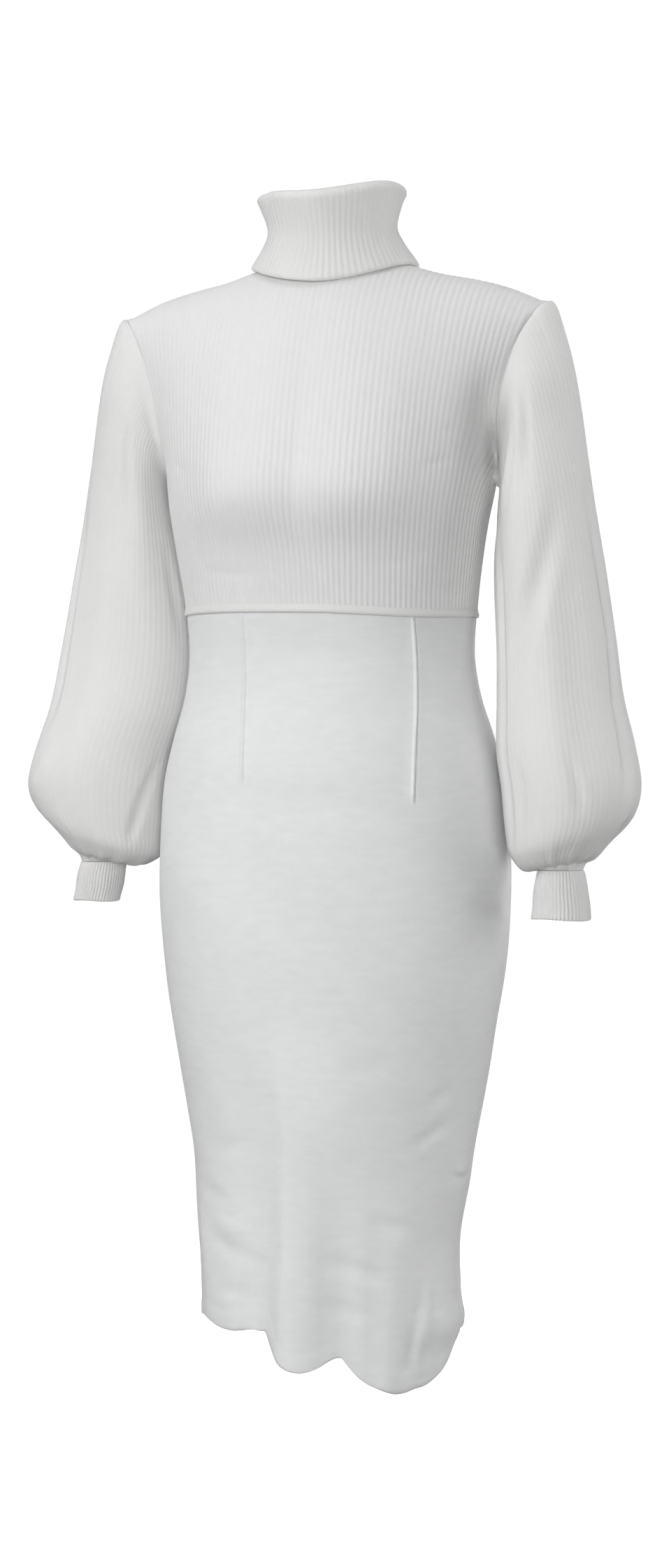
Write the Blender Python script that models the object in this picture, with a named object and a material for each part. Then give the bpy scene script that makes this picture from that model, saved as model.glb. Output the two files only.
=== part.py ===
"""A white knitted sweater dress, worn: folded turtleneck, fine-ribbed bodice with balloon
sleeves gathered into ribbed cuffs, a raised welt round the waist seam, and a plain knit
pencil skirt to the knee. Every piece of cloth is a closed wall round a hollow.

Metres. +X is the wearer's left, -Y the front and +Z up. The origin is the middle of the
neck, at the height where the shoulders start.
"""

import math

import bpy
import numpy as np

# Cloth and seams.
WALL = 0.002
SEAM_GAP = 0.0003
WAIST_GAP = 0.0005
RIB_HEIGHT = 0.0007
SECTION_SQUARENESS = 2.2

# Ribs: each is one ridge column and one groove column of a piece's outer points.
BODICE_RIBS_PER_PANEL = 78
COLLAR_RIBS = 76
CUFF_RIBS = 48

# Shoulders and armholes.
UNDERARM_Z = -0.190
SHOULDER_X = 0.192
SHOULDER_REACH = 0.190
YOKE_RISE = 0.072

# Neck seam and collar. Each level is (front, side, back).
NECK_RADIUS = 0.0640
NECK_ASPECT = 0.95
NECK_Y = 0.005
NECK_LEAN = -0.010
NECK_SEAT = 0.0010
COLLAR_EDGE_Z = (-0.0110, 0.0105, 0.0060)
COLLAR_TOP_Z = (0.0664, 0.0770, 0.0830)
COLLAR_TILT = 0.0025

# Bust, as two soft mounds on the front.
BUST = {"x": 0.074, "z": -0.205, "wide": 0.050, "tall": 0.052, "out": 0.009}

# Waist welt: a rounded band that stands proud of both walls.
WELT_HEIGHT = 0.0052
WELT_THICK = 0.0018
WELT_CLEAR = 0.0010
WELT_COLUMNS = 48

# Darts: raised tucks below the waist seam.
DART_TOP = -0.310
DART_LENGTH = 0.167
DART_HALF_SHARE = 0.012
DART_OUT = 0.0014

# How finely each piece is divided.
DENSE_COLUMNS = 161
BODICE_LOWER_LEVELS = (0.0, 0.33, 0.66, 1.0)
BODICE_UPPER_LEVELS = (0.06, 0.18, 0.36, 0.57, 0.79, 1.0)
BODICE_INSIDE_COLUMNS = 16
BODICE_RIM_COLUMNS = 48
SKIRT_LEVELS = (0.0, 0.04, 0.095, 0.16, 0.23, 0.31, 0.39, 0.47, 0.55, 0.63, 0.71, 0.78,
                0.85, 0.92, 0.99, 1.0)
SKIRT_COLUMNS = 30
SKIRT_INSIDE_COLUMNS = 20
ARMHOLE_STEPS = 40
SLEEVE_ROWS = 16
SLEEVE_COLUMNS = 24
COLLAR_PLAIN_COLUMNS = 30


def table(columns, rows):
    """A table with named columns, as one array for each."""
    return dict(zip(columns.split(), np.array(rows, float).T))


# Level sections of bodice and skirt, down the figure.
BODY = table("height half_width front side back", (
    (-0.160, 0.1520, -0.1140, -0.004, 0.100),
    (-0.190, 0.1490, -0.1200, -0.008, 0.099),
    (-0.229, 0.1420, -0.1230, -0.013, 0.096),
    (-0.258, 0.1375, -0.1190, -0.012, 0.092),
    (-0.307, 0.1313, -0.1060, -0.006, 0.087),
    (-0.350, 0.1297, -0.0990, -0.005, 0.085),
    (-0.382, 0.1347, -0.1020, -0.002, 0.093),
    (-0.417, 0.1455, -0.1080, 0.000, 0.104),
    (-0.447, 0.1525, -0.1120, 0.002, 0.113),
    (-0.494, 0.1577, -0.1150, 0.004, 0.122),
    (-0.552, 0.1600, -0.1150, 0.005, 0.125),
    (-0.628, 0.1545, -0.1120, 0.005, 0.118),
    (-0.689, 0.1455, -0.1080, 0.005, 0.109),
    (-0.750, 0.1345, -0.1040, 0.005, 0.100),
    (-0.800, 0.1260, -0.1010, 0.001, 0.093),
    (-0.850, 0.1215, -0.1000, -0.004, 0.088),
    (-0.902, 0.1180, -0.1000, -0.008, 0.083),
    (-0.990, 0.1160, -0.1000, -0.008, 0.080),
))

# How far each armhole cuts into a panel, from the underarm (0) to the shoulder (1).
ARMHOLE = table("share front back", (
    (0.00, 0.0000, 0.0000),
    (0.05, 0.0130, 0.0115),
    (0.15, 0.0275, 0.0240),
    (0.31, 0.0375, 0.0320),
    (0.50, 0.0390, 0.0325),
    (0.75, 0.0330, 0.0260),
    (1.00, 0.0245, 0.0172),
))
# Where a panel's columns meet over the shoulder, or would meet over the neck, and how far
# before that they start to level out. Reach is the distance round the panel from its middle.
YOKE = table("reach front_z front_bend back_z back_bend", (
    (0.0000, 0.0240, 0.075, 0.0420, 0.096),
    (0.0200, 0.0225, 0.074, 0.0385, 0.095),
    (0.0400, 0.0170, 0.072, 0.0275, 0.090),
    (0.0530, 0.0122, 0.070, 0.0180, 0.083),
    (0.0634, 0.0085, 0.068, 0.0105, 0.077),
    (0.0750, 0.0046, 0.066, 0.0048, 0.072),
    (0.1000, -0.0030, 0.062, -0.0030, 0.066),
    (0.1300, -0.0093, 0.056, -0.0093, 0.061),
    (0.1600, -0.0175, 0.049, -0.0175, 0.055),
    (0.1900, -0.0294, 0.042, -0.0294, 0.048),
))

# The waist seam's and the hem's heights, from the wearer's right side seam (-1) to the left (1).
WAIST_LINE = table("across front back", (
    (-1.0, -0.3065, -0.3065),
    (-0.5, -0.3065, -0.3065),
    (0.0, -0.3085, -0.3060),
    (0.5, -0.3125, -0.3065),
    (1.0, -0.3090, -0.3090),
))
HEM_FRONT = table("across height", (
    (-1.00, -0.944),
    (-0.65, -0.937),
    (-0.50, -0.944),
    (-0.27, -0.943),
    (-0.18, -0.939),
    (-0.12, -0.957),
    (-0.06, -0.970),
    (0.00, -0.972),
    (0.12, -0.963),
    (0.17, -0.961),
    (0.29, -0.980),
    (0.44, -0.988),
    (0.58, -0.987),
    (0.75, -0.981),
    (0.87, -0.969),
    (0.94, -0.957),
    (1.00, -0.947),
))
HEM_BACK = table("across height", (
    (-1.00, -0.944),
    (-0.60, -0.950),
    (-0.20, -0.944),
    (0.25, -0.952),
    (0.65, -0.944),
    (1.00, -0.947),
))

# Soft folds of the skirt: they start at from_height and reach their full depth at the hem.
FOLDS = table("side across_top across_hem from_height half_width out", (
    (-1, -0.26, -0.25, -0.690, 0.11, -0.0055),
    (-1, -0.10, -0.08, -0.690, 0.12, 0.0060),
    (-1, 0.10, 0.15, -0.740, 0.13, -0.0050),
    (-1, 0.44, 0.42, -0.800, 0.14, 0.0045),
    (-1, 0.62, 0.68, -0.860, 0.10, -0.0035),
    (-1, 0.78, 0.82, -0.860, 0.10, 0.0030),
    (-1, -0.66, -0.62, -0.780, 0.16, 0.0030),
    (1, -0.55, -0.58, -0.720, 0.16, 0.0050),
    (1, -0.20, -0.22, -0.760, 0.14, -0.0050),
    (1, 0.15, 0.18, -0.700, 0.16, 0.0050),
    (1, 0.55, 0.50, -0.780, 0.14, -0.0045),
))
DARTS = table("side across_top across_end", (
    (-1, 0.480, 0.400),
    (-1, -0.265, -0.205),
    (1, 0.265, 0.205),
    (1, -0.480, -0.400),
))

# Sleeve sections for the wearer's left: the outer and the inner line of the arm, the
# section's middle in Y and its half depth. The first is the armhole itself.
SLEEVE = table("outer_x outer_z inner_x inner_z middle_y half_depth", (
    (0.1920, -0.029, 0.1505, -0.1900, -0.001, 0.0520),
    (0.2048, -0.036, 0.1565, -0.1890, 0.000, 0.0520),
    (0.2148, -0.052, 0.1590, -0.1905, -0.001, 0.0550),
    (0.2238, -0.082, 0.1588, -0.1970, -0.003, 0.0565),
    (0.2306, -0.122, 0.1568, -0.2125, -0.004, 0.0560),
    (0.2367, -0.170, 0.1542, -0.2335, -0.005, 0.0550),
    (0.2430, -0.225, 0.1525, -0.2620, -0.006, 0.0545),
    (0.2510, -0.280, 0.1535, -0.3010, -0.008, 0.0550),
    (0.2590, -0.335, 0.1555, -0.3450, -0.010, 0.0570),
    (0.2650, -0.385, 0.1565, -0.3900, -0.013, 0.0590),
    (0.2752, -0.430, 0.1565, -0.4320, -0.015, 0.0610),
    (0.2805, -0.462, 0.1615, -0.4670, -0.016, 0.0610),
    (0.2760, -0.486, 0.1650, -0.5020, -0.017, 0.0570),
    (0.2630, -0.504, 0.1690, -0.5230, -0.018, 0.0500),
    (0.2475, -0.5165, 0.1785, -0.5305, -0.018, 0.0390),
    (0.2350, -0.5250, 0.1910, -0.5315, -0.018, 0.0265),
    (0.2320, -0.5370, 0.1936, -0.5370, -0.018, 0.0222),
))
# What the wearer's right sleeve adds to that table, by its rows: it hangs further back.
RIGHT_SLEEVE = table("row outer_x outer_z inner_x inner_z middle_y", (
    (0, 0.0000, 0.0000, 0.0000, 0.0000, 0.000),
    (2, 0.0015, 0.0000, 0.0000, 0.0000, 0.000),
    (4, 0.0000, 0.0000, 0.0000, 0.0000, 0.008),
    (5, 0.0000, 0.0000, -0.0020, 0.0000, 0.014),
    (6, 0.0000, 0.0000, -0.0065, 0.0000, 0.018),
    (7, 0.0010, 0.0000, -0.0135, 0.0000, 0.020),
    (8, 0.0025, 0.0000, -0.0175, 0.0000, 0.021),
    (9, 0.0055, 0.0000, -0.0140, 0.0000, 0.020),
    (10, 0.0095, 0.0010, -0.0015, 0.0000, 0.019),
    (11, 0.0095, 0.0030, -0.0005, 0.0000, 0.018),
    (12, 0.0075, 0.0060, -0.0010, -0.0010, 0.018),
    (13, 0.0055, 0.0070, -0.0025, -0.0015, 0.018),
    (14, 0.0055, 0.0070, -0.0010, 0.0010, 0.018),
    (15, 0.0075, 0.0050, 0.0055, 0.0025, 0.018),
    (16, 0.0080, 0.0045, 0.0080, 0.0045, 0.018),
))
SLEEVE_BLEND = 7
SEAM_ROLL = 0.004
CUFF_GATHERS = 12
GATHER_OUT = 0.0024
SLEEVE_FOLDS = table("turn from_row to_row half_width out", (
    (0.33, 4.0, 13.0, 0.080, -0.0040),
    (0.19, 3.0, 8.0, 0.075, 0.0030),
    (0.57, 7.0, 13.5, 0.075, 0.0035),
    (0.78, 6.0, 13.0, 0.080, -0.0035),
))

# Cuffs, left (1) and right (-1): radius at the seam and at the open end, length, and how far
# the open end leans out.
CUFF_DEPTH_SHARE = 1.14
CUFFS = {
    1: {"top_radius": 0.0192, "end_radius": 0.0248, "drop": 0.0420, "lean": 0.001},
    -1: {"top_radius": 0.0192, "end_radius": 0.0195, "drop": 0.0350, "lean": 0.006},
}

# The collar's section, from the free edge up the fall, over the roll and down the stand to
# the neck seam: the radius at the side of the neck, and the height from edge (0) to top (1).
COLLAR = table("radius height ribbed", (
    (0.0745, 0.000, 1),
    (0.0640, 0.260, 1),
    (0.0583, 0.500, 1),
    (0.0638, 0.800, 0),
    (0.0665, 0.900, 0),
    (0.0645, 0.970, 0),
    (0.0585, 1.000, 0),
    (0.0548, 0.960, 0),
    (0.0535, 0.860, 0),
    (0.0540, 0.500, 0),
    (0.0575, 0.220, 0),
    (0.0640, 0.050, 0),
))

COLOURS = {
    "bodice": (0.80, 0.80, 0.79, 1.0),
    "sleeve": (0.79, 0.79, 0.77, 1.0),
    "trim": (0.78, 0.78, 0.77, 1.0),
    "skirt": (0.76, 0.77, 0.78, 1.0),
}


def curve(knots, values, at):
    """A smooth curve through a table's values, read at any places."""
    slope = np.gradient(values, knots)
    at = np.clip(at, knots[0], knots[-1])
    cell = np.clip(np.searchsorted(knots, at, side="right") - 1, 0, len(knots) - 2)
    width = knots[cell + 1] - knots[cell]
    share = (at - knots[cell]) / width
    start, end = values[cell], values[cell + 1]
    leave, arrive = slope[cell] * width, slope[cell + 1] * width
    bend = start * (1 + 2 * share) + leave * share
    rest = end * (3 - 2 * share) - arrive * (1 - share)
    return bend * (1 - share) ** 2 + rest * share**2


def body_size(column, height):
    """One column of the body table, which runs downwards."""
    return curve(BODY["height"][::-1], BODY[column][::-1], height)


def smooth_step(low, high, value):
    share = np.clip((value - low) / (high - low), 0, 1)
    return share * share * (3 - 2 * share)


def hump(distance, half_width):
    """1 in the middle of a fold, easing to 0 at its edges."""
    return np.cos(np.clip(distance / half_width, -1, 1) * math.pi / 2) ** 2


def level(front_side_back, angle):
    """A height round the neck, where angle 0 is the front and pi the back."""
    front, side, back = front_side_back
    facing = np.cos(angle)
    return side + np.where(facing > 0, front - side, back - side) * facing**2


def unit(vectors):
    return vectors / np.linalg.norm(vectors, axis=-1, keepdims=True)


def section_point(height, across, side):
    """Points of the torso's level sections; side is -1 for the front and 1 for the back."""
    power = 2 / SECTION_SQUARENESS
    angle = across * math.pi / 2
    x = np.sign(across) * np.abs(np.sin(angle)) ** power * body_size("half_width", height)
    middle = body_size("side", height)
    end = body_size("front" if side < 0 else "back", height)
    y = middle + (end - middle) * np.abs(np.cos(angle)) ** power
    if side < 0:
        y = y - bust_out(x, height) * np.cos(angle) ** 2
    return np.stack([x, y, height + 0 * across], axis=-1)


def bust_out(x, height):
    over = (np.abs(x) - BUST["x"]) / BUST["wide"]
    above = (height - BUST["z"]) / BUST["tall"]
    return BUST["out"] * np.exp(-(over**2) - above**2)


def chest_line(reach, side, height):
    """Points of the section at a height, at these distances round it from the middle."""
    across = np.linspace(-1, 1, DENSE_COLUMNS)
    points = section_point(height + 0 * across, across, side)
    run = np.concatenate([[0], np.linalg.norm(np.diff(points, axis=0), axis=1).cumsum()])
    run -= run[-1] / 2
    return read_row(points, run, reach * run[-1] / chest_reach(side))


def chest_reach(side):
    """Half the distance round a panel at the underarm."""
    across = np.linspace(-1, 1, DENSE_COLUMNS)
    points = section_point(UNDERARM_Z + 0 * across, across, side)
    return np.linalg.norm(np.diff(points, axis=0), axis=1).sum() / 2


def bezier(controls, share):
    """Points on one curve for each row of the four controls."""
    share = np.asarray(share)[:, None]
    rest = 1 - share
    start, leave, arrive, end = controls
    return (start * rest**3 + 3 * leave * rest**2 * share
            + 3 * arrive * rest * share**2 + end * share**3)


def yoke_columns(reach, side, share):
    """Points on a panel's columns from the underarm's level (share 0) to the shoulder seam or,
    where the neck is cut out of them, to the neck seam (share 1)."""
    name = "front" if side < 0 else "back"
    far, x = np.abs(reach), reach * SHOULDER_X / SHOULDER_REACH
    foot = chest_line(reach, side, UNDERARM_Z)
    step = 0.002
    rise = (chest_line(reach, side, UNDERARM_Z + step) - foot) / step * YOKE_RISE
    top = np.stack([x, NECK_Y + 0 * x, curve(YOKE["reach"], YOKE[f"{name}_z"], far)], axis=-1)
    before = top.copy()
    before[:, 1] += side * curve(YOKE["reach"], YOKE[f"{name}_bend"], far)
    controls = (foot, foot + rise, before, top)
    opening = np.sqrt(np.clip(1 - (x / NECK_RADIUS) ** 2, 0, 1))
    neck_y = NECK_Y + side * NECK_RADIUS * NECK_ASPECT * opening
    low, high = 0 * x, 0 * x + 1
    for _ in range(30):
        middle = (low + high) / 2
        outside = side * (bezier(controls, middle)[:, 1] - neck_y) > 0
        low, high = np.where(outside, middle, low), np.where(outside, high, middle)
    return bezier(controls, share - (1 - high) * share**3)


def neck_height(angle):
    """The height of the neck seam on the bodice, where angle 0 is the front."""
    reach = NECK_RADIUS * 0.9999 * np.sin(angle) * SHOULDER_REACH / SHOULDER_X
    front, back = (yoke_columns(reach, side, 1.0)[:, 2] for side in (-1, 1))
    return np.where(np.cos(angle) > 0, front, back)


def bodice_grid(side, lower_levels, upper_levels):
    """Middle-of-wall points of a bodice panel, rows upwards by columns across, with each
    row's distances across. The columns run straight up and the armhole cuts them off."""
    name = "front" if side < 0 else "back"
    across = np.linspace(-1, 1, DENSE_COLUMNS)
    waist = curve(WAIST_LINE["across"], WAIST_LINE[name], across) + WAIST_GAP / 2
    full = chest_reach(side)
    rows, reaches = [], []
    for share in lower_levels:
        height = waist + share * (UNDERARM_Z - waist)
        rows.append(section_point(height, across, side))
        run = np.linalg.norm(np.diff(rows[-1], axis=0), axis=1).cumsum()
        reaches.append((np.concatenate([[0], run]) / run[-1] * 2 - 1) * full)
    for share in upper_levels:
        reach = across * (full - curve(ARMHOLE["share"], ARMHOLE[name], share))
        rows.append(yoke_columns(reach, side, share))
        reaches.append(reach)
    grid = np.array(rows)
    grid[..., 1] += side * SEAM_GAP / 2
    return grid, np.array(reaches)


def skirt_grid(side, levels):
    """Middle-of-wall points of a skirt panel, rows upwards from the hem."""
    across = np.linspace(-1, 1, DENSE_COLUMNS)
    waist = curve(WAIST_LINE["across"], WAIST_LINE["front" if side < 0 else "back"], across)
    hem_table = HEM_FRONT if side < 0 else HEM_BACK
    hem = curve(hem_table["across"], hem_table["height"], across)
    grid = []
    for share in levels:
        height = hem + share * (waist - WAIST_GAP / 2 - hem)
        points = section_point(height, across, side)
        points[:, 1] += side * fold_out(across, height, hem, side)
        grid.append(points)
    grid = np.array(grid)
    grid[..., 1] += side * SEAM_GAP / 2
    return grid


def fold_out(across, height, hem, side):
    """How far the skirt's soft folds stand out at each point."""
    out = 0 * across
    for row in range(len(FOLDS["side"])):
        if FOLDS["side"][row] != side:
            continue
        fold = {name: column[row] for name, column in FOLDS.items()}
        down = np.clip((fold["from_height"] - height) / (fold["from_height"] - hem), 0, 1)
        middle = fold["across_top"] + (fold["across_hem"] - fold["across_top"]) * down
        out = out + fold["out"] * smooth_step(0, 1, down) * hump(
            across - middle, fold["half_width"])
    return out


def dart_places(side, height):
    """Across each skirt panel, where its darts' columns start at the waist and where they
    lie at this height, and 1 between the darts' ends or 0 past them."""
    share = (DART_TOP - height) / DART_LENGTH
    rows = DARTS["side"] == side
    start, end = DARTS["across_top"][rows], DARTS["across_end"][rows]
    drift = np.clip(share, 0, 1) * (end - start)
    return np.sort(start), np.sort(start + drift), float(0 < share < 1)


def grid_normals(grid, outward):
    """Unit normals of a grid; outward is 1 where row x column already points out."""
    return unit(np.cross(np.gradient(grid, axis=1), np.gradient(grid, axis=0))) * outward


def squared(normals, axis):
    """The same normals without their part along an axis, for an edge that is cut square."""
    normals = normals.copy()
    normals[..., axis] = 0
    return unit(normals)


def read_row(values, places, marks):
    """A grid row's vectors, read at the given places along it."""
    return np.stack([np.interp(marks, places, values[:, k]) for k in range(3)], axis=-1)


def strip(faces, lower, upper, lower_keys, upper_keys, turned):
    """Triangles between two rows that need not have the same points, matched by their keys."""
    i = j = 0
    while i < len(lower) - 1 or j < len(upper) - 1:
        lower_next = j == len(upper) - 1 or (
            i < len(lower) - 1 and lower_keys[i + 1] <= upper_keys[j + 1] + 1e-9)
        if lower_next:
            face = (lower[i], lower[i + 1], upper[j])
            i += 1
        else:
            face = (lower[i], upper[j + 1], upper[j])
            j += 1
        faces.append(face[::-1] if turned else face)


def wall_mesh(outer, inner, closed):
    """A wall's points and faces, from its outer and inner rows of (keys, points)."""
    points, faces, rows = [], [], {"outer": [], "inner": []}
    for kind, source in (("outer", outer), ("inner", inner)):
        for keys, row in source:
            first = len(points)
            points.extend(row[:-1] if closed else row)
            indices = list(range(first, len(points)))
            rows[kind].append((keys, indices + [first] if closed else indices))
    for kind, turned in (("outer", False), ("inner", True)):
        for (low_keys, low), (high_keys, high) in zip(rows[kind], rows[kind][1:]):
            strip(faces, low, high, low_keys, high_keys, turned)
    (low_keys, low), (in_keys, within) = rows["outer"][0], rows["inner"][0]
    strip(faces, within, low, in_keys, low_keys, False)
    (high_keys, high), (in_keys, within) = rows["outer"][-1], rows["inner"][-1]
    strip(faces, high, within, high_keys, in_keys, False)
    if not closed:
        for end in (0, -1):
            out_edge = [row[end] for _, row in rows["outer"]]
            in_edge = [row[end] for _, row in rows["inner"]]
            heights = list(range(len(out_edge)))
            strip(faces, out_edge, in_edge, heights, heights, end == -1)
    return np.array(points), faces


def add_piece(name, colour, points, faces, collection):
    """One closed piece of cloth, shaded smooth over its soft bends."""
    corners = points[np.array(faces)]
    volume = np.einsum("ij,ij->i", corners[:, 0], np.cross(corners[:, 1], corners[:, 2])).sum()
    if volume < 0:
        faces = [face[::-1] for face in faces]
    mesh = bpy.data.meshes.new(name)
    mesh.from_pydata(points.tolist(), [], faces)
    mesh.shade_smooth()
    mesh.set_sharp_from_angle(angle=math.radians(50))
    mesh.materials.append(knit_material(colour))
    piece = bpy.data.objects.new(name, mesh)
    collection.objects.link(piece)
    return piece


def knit_material(colour):
    """The plain finish of one part of the dress."""
    name = f"knit_{colour}"
    material = bpy.data.materials.get(name)
    if material is None:
        material = bpy.data.materials.new(name)
        material.use_nodes = True
        shader = material.node_tree.nodes["Principled BSDF"]
        shader.inputs["Base Color"].default_value = COLOURS[colour]
        shader.inputs["Roughness"].default_value = 0.92
        shader.inputs["Metallic"].default_value = 0.0
        material.diffuse_color = COLOURS[colour]
    return material


def bodice_panel(side):
    """A bodice panel's rows, and its armhole edges for the sleeves to start from: those of its
    own rows, and smooth ones."""
    grid, reaches = bodice_grid(side, BODICE_LOWER_LEVELS, BODICE_UPPER_LEVELS)
    normals = grid_normals(grid, -side)
    for _ in range(3):
        normals[-1, 1:-1] = unit(normals[-1, :-2] + normals[-1, 1:-1] + normals[-1, 2:])
    on_shoulder = np.abs(grid[-1, :, 0]) > NECK_RADIUS
    normals[-1, on_shoulder] = squared(normals[-1, on_shoulder], 1)
    normals[0] = squared(normals[0], 2)
    half_rib = reaches[0, -1] / BODICE_RIBS_PER_PANEL
    outer, inner = [], []
    for row, (points, normal, place) in enumerate(zip(grid, normals, reaches)):
        count = math.ceil(place[-1] / half_rib - 0.4) - 1
        steps = np.arange(-count, count + 1)
        marks = np.concatenate([[place[0]], steps * half_rib, [place[-1]]])
        ridge = np.concatenate([[0], steps % 2 == 0, [0]])
        lift = (WALL / 2 + RIB_HEIGHT * ridge)[:, None]
        outer.append((marks, read_row(points, place, marks)
                      + read_normal(normal, place, marks) * lift))
        at_rim = row in (0, len(grid) - 2, len(grid) - 1)
        columns = BODICE_RIM_COLUMNS if at_rim else BODICE_INSIDE_COLUMNS
        marks = np.linspace(place[0], place[-1], columns + 1)
        inner.append((marks, read_row(points, place, marks)
                      - read_normal(normal, place, marks) * WALL / 2))
    first = len(BODICE_LOWER_LEVELS) - 1
    smooth, _ = bodice_grid(side, (), np.linspace(0, 1, ARMHOLE_STEPS + 1))
    smooth_normals = grid_normals(smooth, -side)
    edges = {end: ((grid[first:, column], normals[first:, column]),
                   (smooth[:, column], smooth_normals[:, column]))
             for end, column in ((1, -1), (-1, 0))}
    return outer, inner, edges


def read_normal(normal, place, marks):
    return unit(read_row(normal, place, marks))


def skirt_panel(side):
    """A skirt panel's rows, with its darts raised in the outer points."""
    grid = skirt_grid(side, SKIRT_LEVELS)
    normals = grid_normals(grid, -side)
    normals[-1] = squared(normals[-1], 2)
    places = np.linspace(-1, 1, DENSE_COLUMNS)
    starts, _, _ = dart_places(side, DART_TOP)
    plain = np.linspace(-1, 1, SKIRT_COLUMNS + 1)
    plain = plain[np.abs(plain[:, None] - starts).min(axis=1) > 0.7 / SKIRT_COLUMNS]
    dart_keys = np.add.outer(starts, np.array([-1, 0, 1]) * DART_HALF_SHARE).ravel()
    keys = np.sort(np.concatenate([plain, dart_keys]))
    is_ridge = np.isin(keys, starts)
    outer, inner = [], []
    for points, normal in zip(grid, normals):
        _, lie, shown = dart_places(side, points[:, 2].mean())
        marks = np.interp(keys, np.concatenate([[-1], starts, [1]]),
                          np.concatenate([[-1], lie, [1]]))
        lift = (WALL / 2 + DART_OUT * shown * is_ridge)[:, None]
        outer.append((keys, read_row(points, places, marks)
                      + read_normal(normal, places, marks) * lift))
        marks = np.linspace(-1, 1, SKIRT_INSIDE_COLUMNS + 1)
        inner.append((marks, read_row(points, places, marks)
                      - read_normal(normal, places, marks) * WALL / 2))
    return outer, inner


def sleeve_sizes(side, at):
    """A sleeve's sizes at these places down its table's rows."""
    rows = np.arange(len(SLEEVE["outer_x"]), dtype=float)
    sizes = {name: curve(rows, column, at) for name, column in SLEEVE.items()}
    if side < 0:
        for name in ("outer_x", "outer_z", "inner_x", "inner_z", "middle_y"):
            sizes[name] = sizes[name] + curve(RIGHT_SLEEVE["row"], RIGHT_SLEEVE[name], at)
    return sizes


def sleeve_grid(side, rows, columns):
    """Middle-of-wall points of a sleeve: rings from the armhole down, each starting at the
    underarm and turning up the front, over the outside and down the back."""
    at = np.linspace(0, len(SLEEVE["outer_x"]) - 1, rows + 1)
    size = sleeve_sizes(side, at)
    turn = np.linspace(0, 1, columns + 1)
    angle = turn * 2 * math.pi
    grid = []
    for row in range(rows + 1):
        outer = np.array([size["outer_x"][row], size["middle_y"][row], size["outer_z"][row]])
        inner = np.array([size["inner_x"][row], size["middle_y"][row], size["inner_z"][row]])
        middle, reach = (outer + inner) / 2, (outer - inner) / 2
        depth = np.array([0, size["half_depth"][row], 0])
        ring = (middle - reach * np.cos(angle)[:, None] - depth * np.sin(angle)[:, None])
        grid.append(ring)
    grid = np.array(grid)
    grid[..., 0] *= side
    return grid, at, turn


def sleeve_folds(turn, at):
    """How far a sleeve's soft folds stand out."""
    out = 0 * turn
    for row in range(len(SLEEVE_FOLDS["turn"])):
        fold = {name: column[row] for name, column in SLEEVE_FOLDS.items()}
        middle = (fold["from_row"] + fold["to_row"]) / 2
        along = hump(at - middle, (fold["to_row"] - fold["from_row"]) / 2)
        out = out + fold["out"] * along * hump(turn - fold["turn"], fold["half_width"])
    return out


def gather_out(turn, at):
    """How far the gathers above the cuff stand out."""
    along = smooth_step(12.0, 14.5, at) * (1 - smooth_step(15.2, 16.0, at))
    return GATHER_OUT * along * (1 + np.cos(CUFF_GATHERS * turn * 2 * math.pi)) / 2


def sleeve_rows(side, edges):
    """A sleeve's rows. Its first ring is the bodice's armhole edge, a seam's gap away."""
    grid, at, turn = sleeve_grid(side, SLEEVE_ROWS, 2 * SLEEVE_COLUMNS)
    keys, seam, seam_normal, away = armhole_ring(side, edges, 1)
    proud = smooth_step(0, 0.6, np.abs(2 * keys - 1))[:, None]
    start = read_row(seam + SEAM_ROLL * (away + seam_normal * proud), keys, turn)
    rest = (1 - smooth_step(1, SLEEVE_BLEND, at))[:, None, None]
    grid = grid + rest * (start - grid[1])
    grid[0] = read_row(seam, keys, turn)
    along, down = np.gradient(grid, axis=1), np.gradient(grid, axis=0)
    along[:, 0] = along[:, -1] = (along[:, 0] + along[:, -1]) / 2
    normals = unit(np.cross(down, along)) * side
    normals[-1] = squared(normals[-1], 2)
    keys, seam, seam_normal, _ = armhole_ring(side, edges, 0)
    outer = [(keys, seam + seam_normal * WALL / 2)]
    inner = [(keys, seam - seam_normal * WALL / 2)]
    for row in range(1, SLEEVE_ROWS + 1):
        marks = np.linspace(0, 1, SLEEVE_COLUMNS + 1)
        points, normal = grid[row][::2], normals[row][::2]
        folds = sleeve_folds(marks, at[row])
        lift = folds + WALL / 2 + gather_out(marks, at[row])
        outer.append((marks, points + normal * lift[:, None]))
        inner.append((marks, points + normal * (folds - WALL / 2)[:, None]))
    return outer, inner


def armhole_ring(side, edges, kind):
    """The seam ring from the underarm up the front and down the back, moved off the bodice."""
    (front, front_normal), (back, back_normal) = edges[-1][side][kind], edges[1][side][kind]
    points = np.concatenate([front, back[::-1][1:]])
    normals = np.concatenate([front_normal, back_normal[::-1][1:]])
    top = len(front) - 1
    for place, other in ((0, 0), (top, top)):
        points[place] = (front[other] + back[other]) / 2
        normals[place] = (front_normal[other] + back_normal[other]) / 2
    points[-1], normals[-1] = points[0], normals[0]
    normals = unit(normals)
    along = np.gradient(points, axis=0)
    along[0] = along[-1] = points[1] - points[-2]
    away = unit(np.cross(along, normals)) * side
    run = np.concatenate([[0], np.linalg.norm(np.diff(points, axis=0), axis=1).cumsum()])
    keys = np.interp(run, [0, run[top], run[-1]], [0, 0.5, 1])
    return keys, points + away * SEAM_GAP, normals, away


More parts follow.
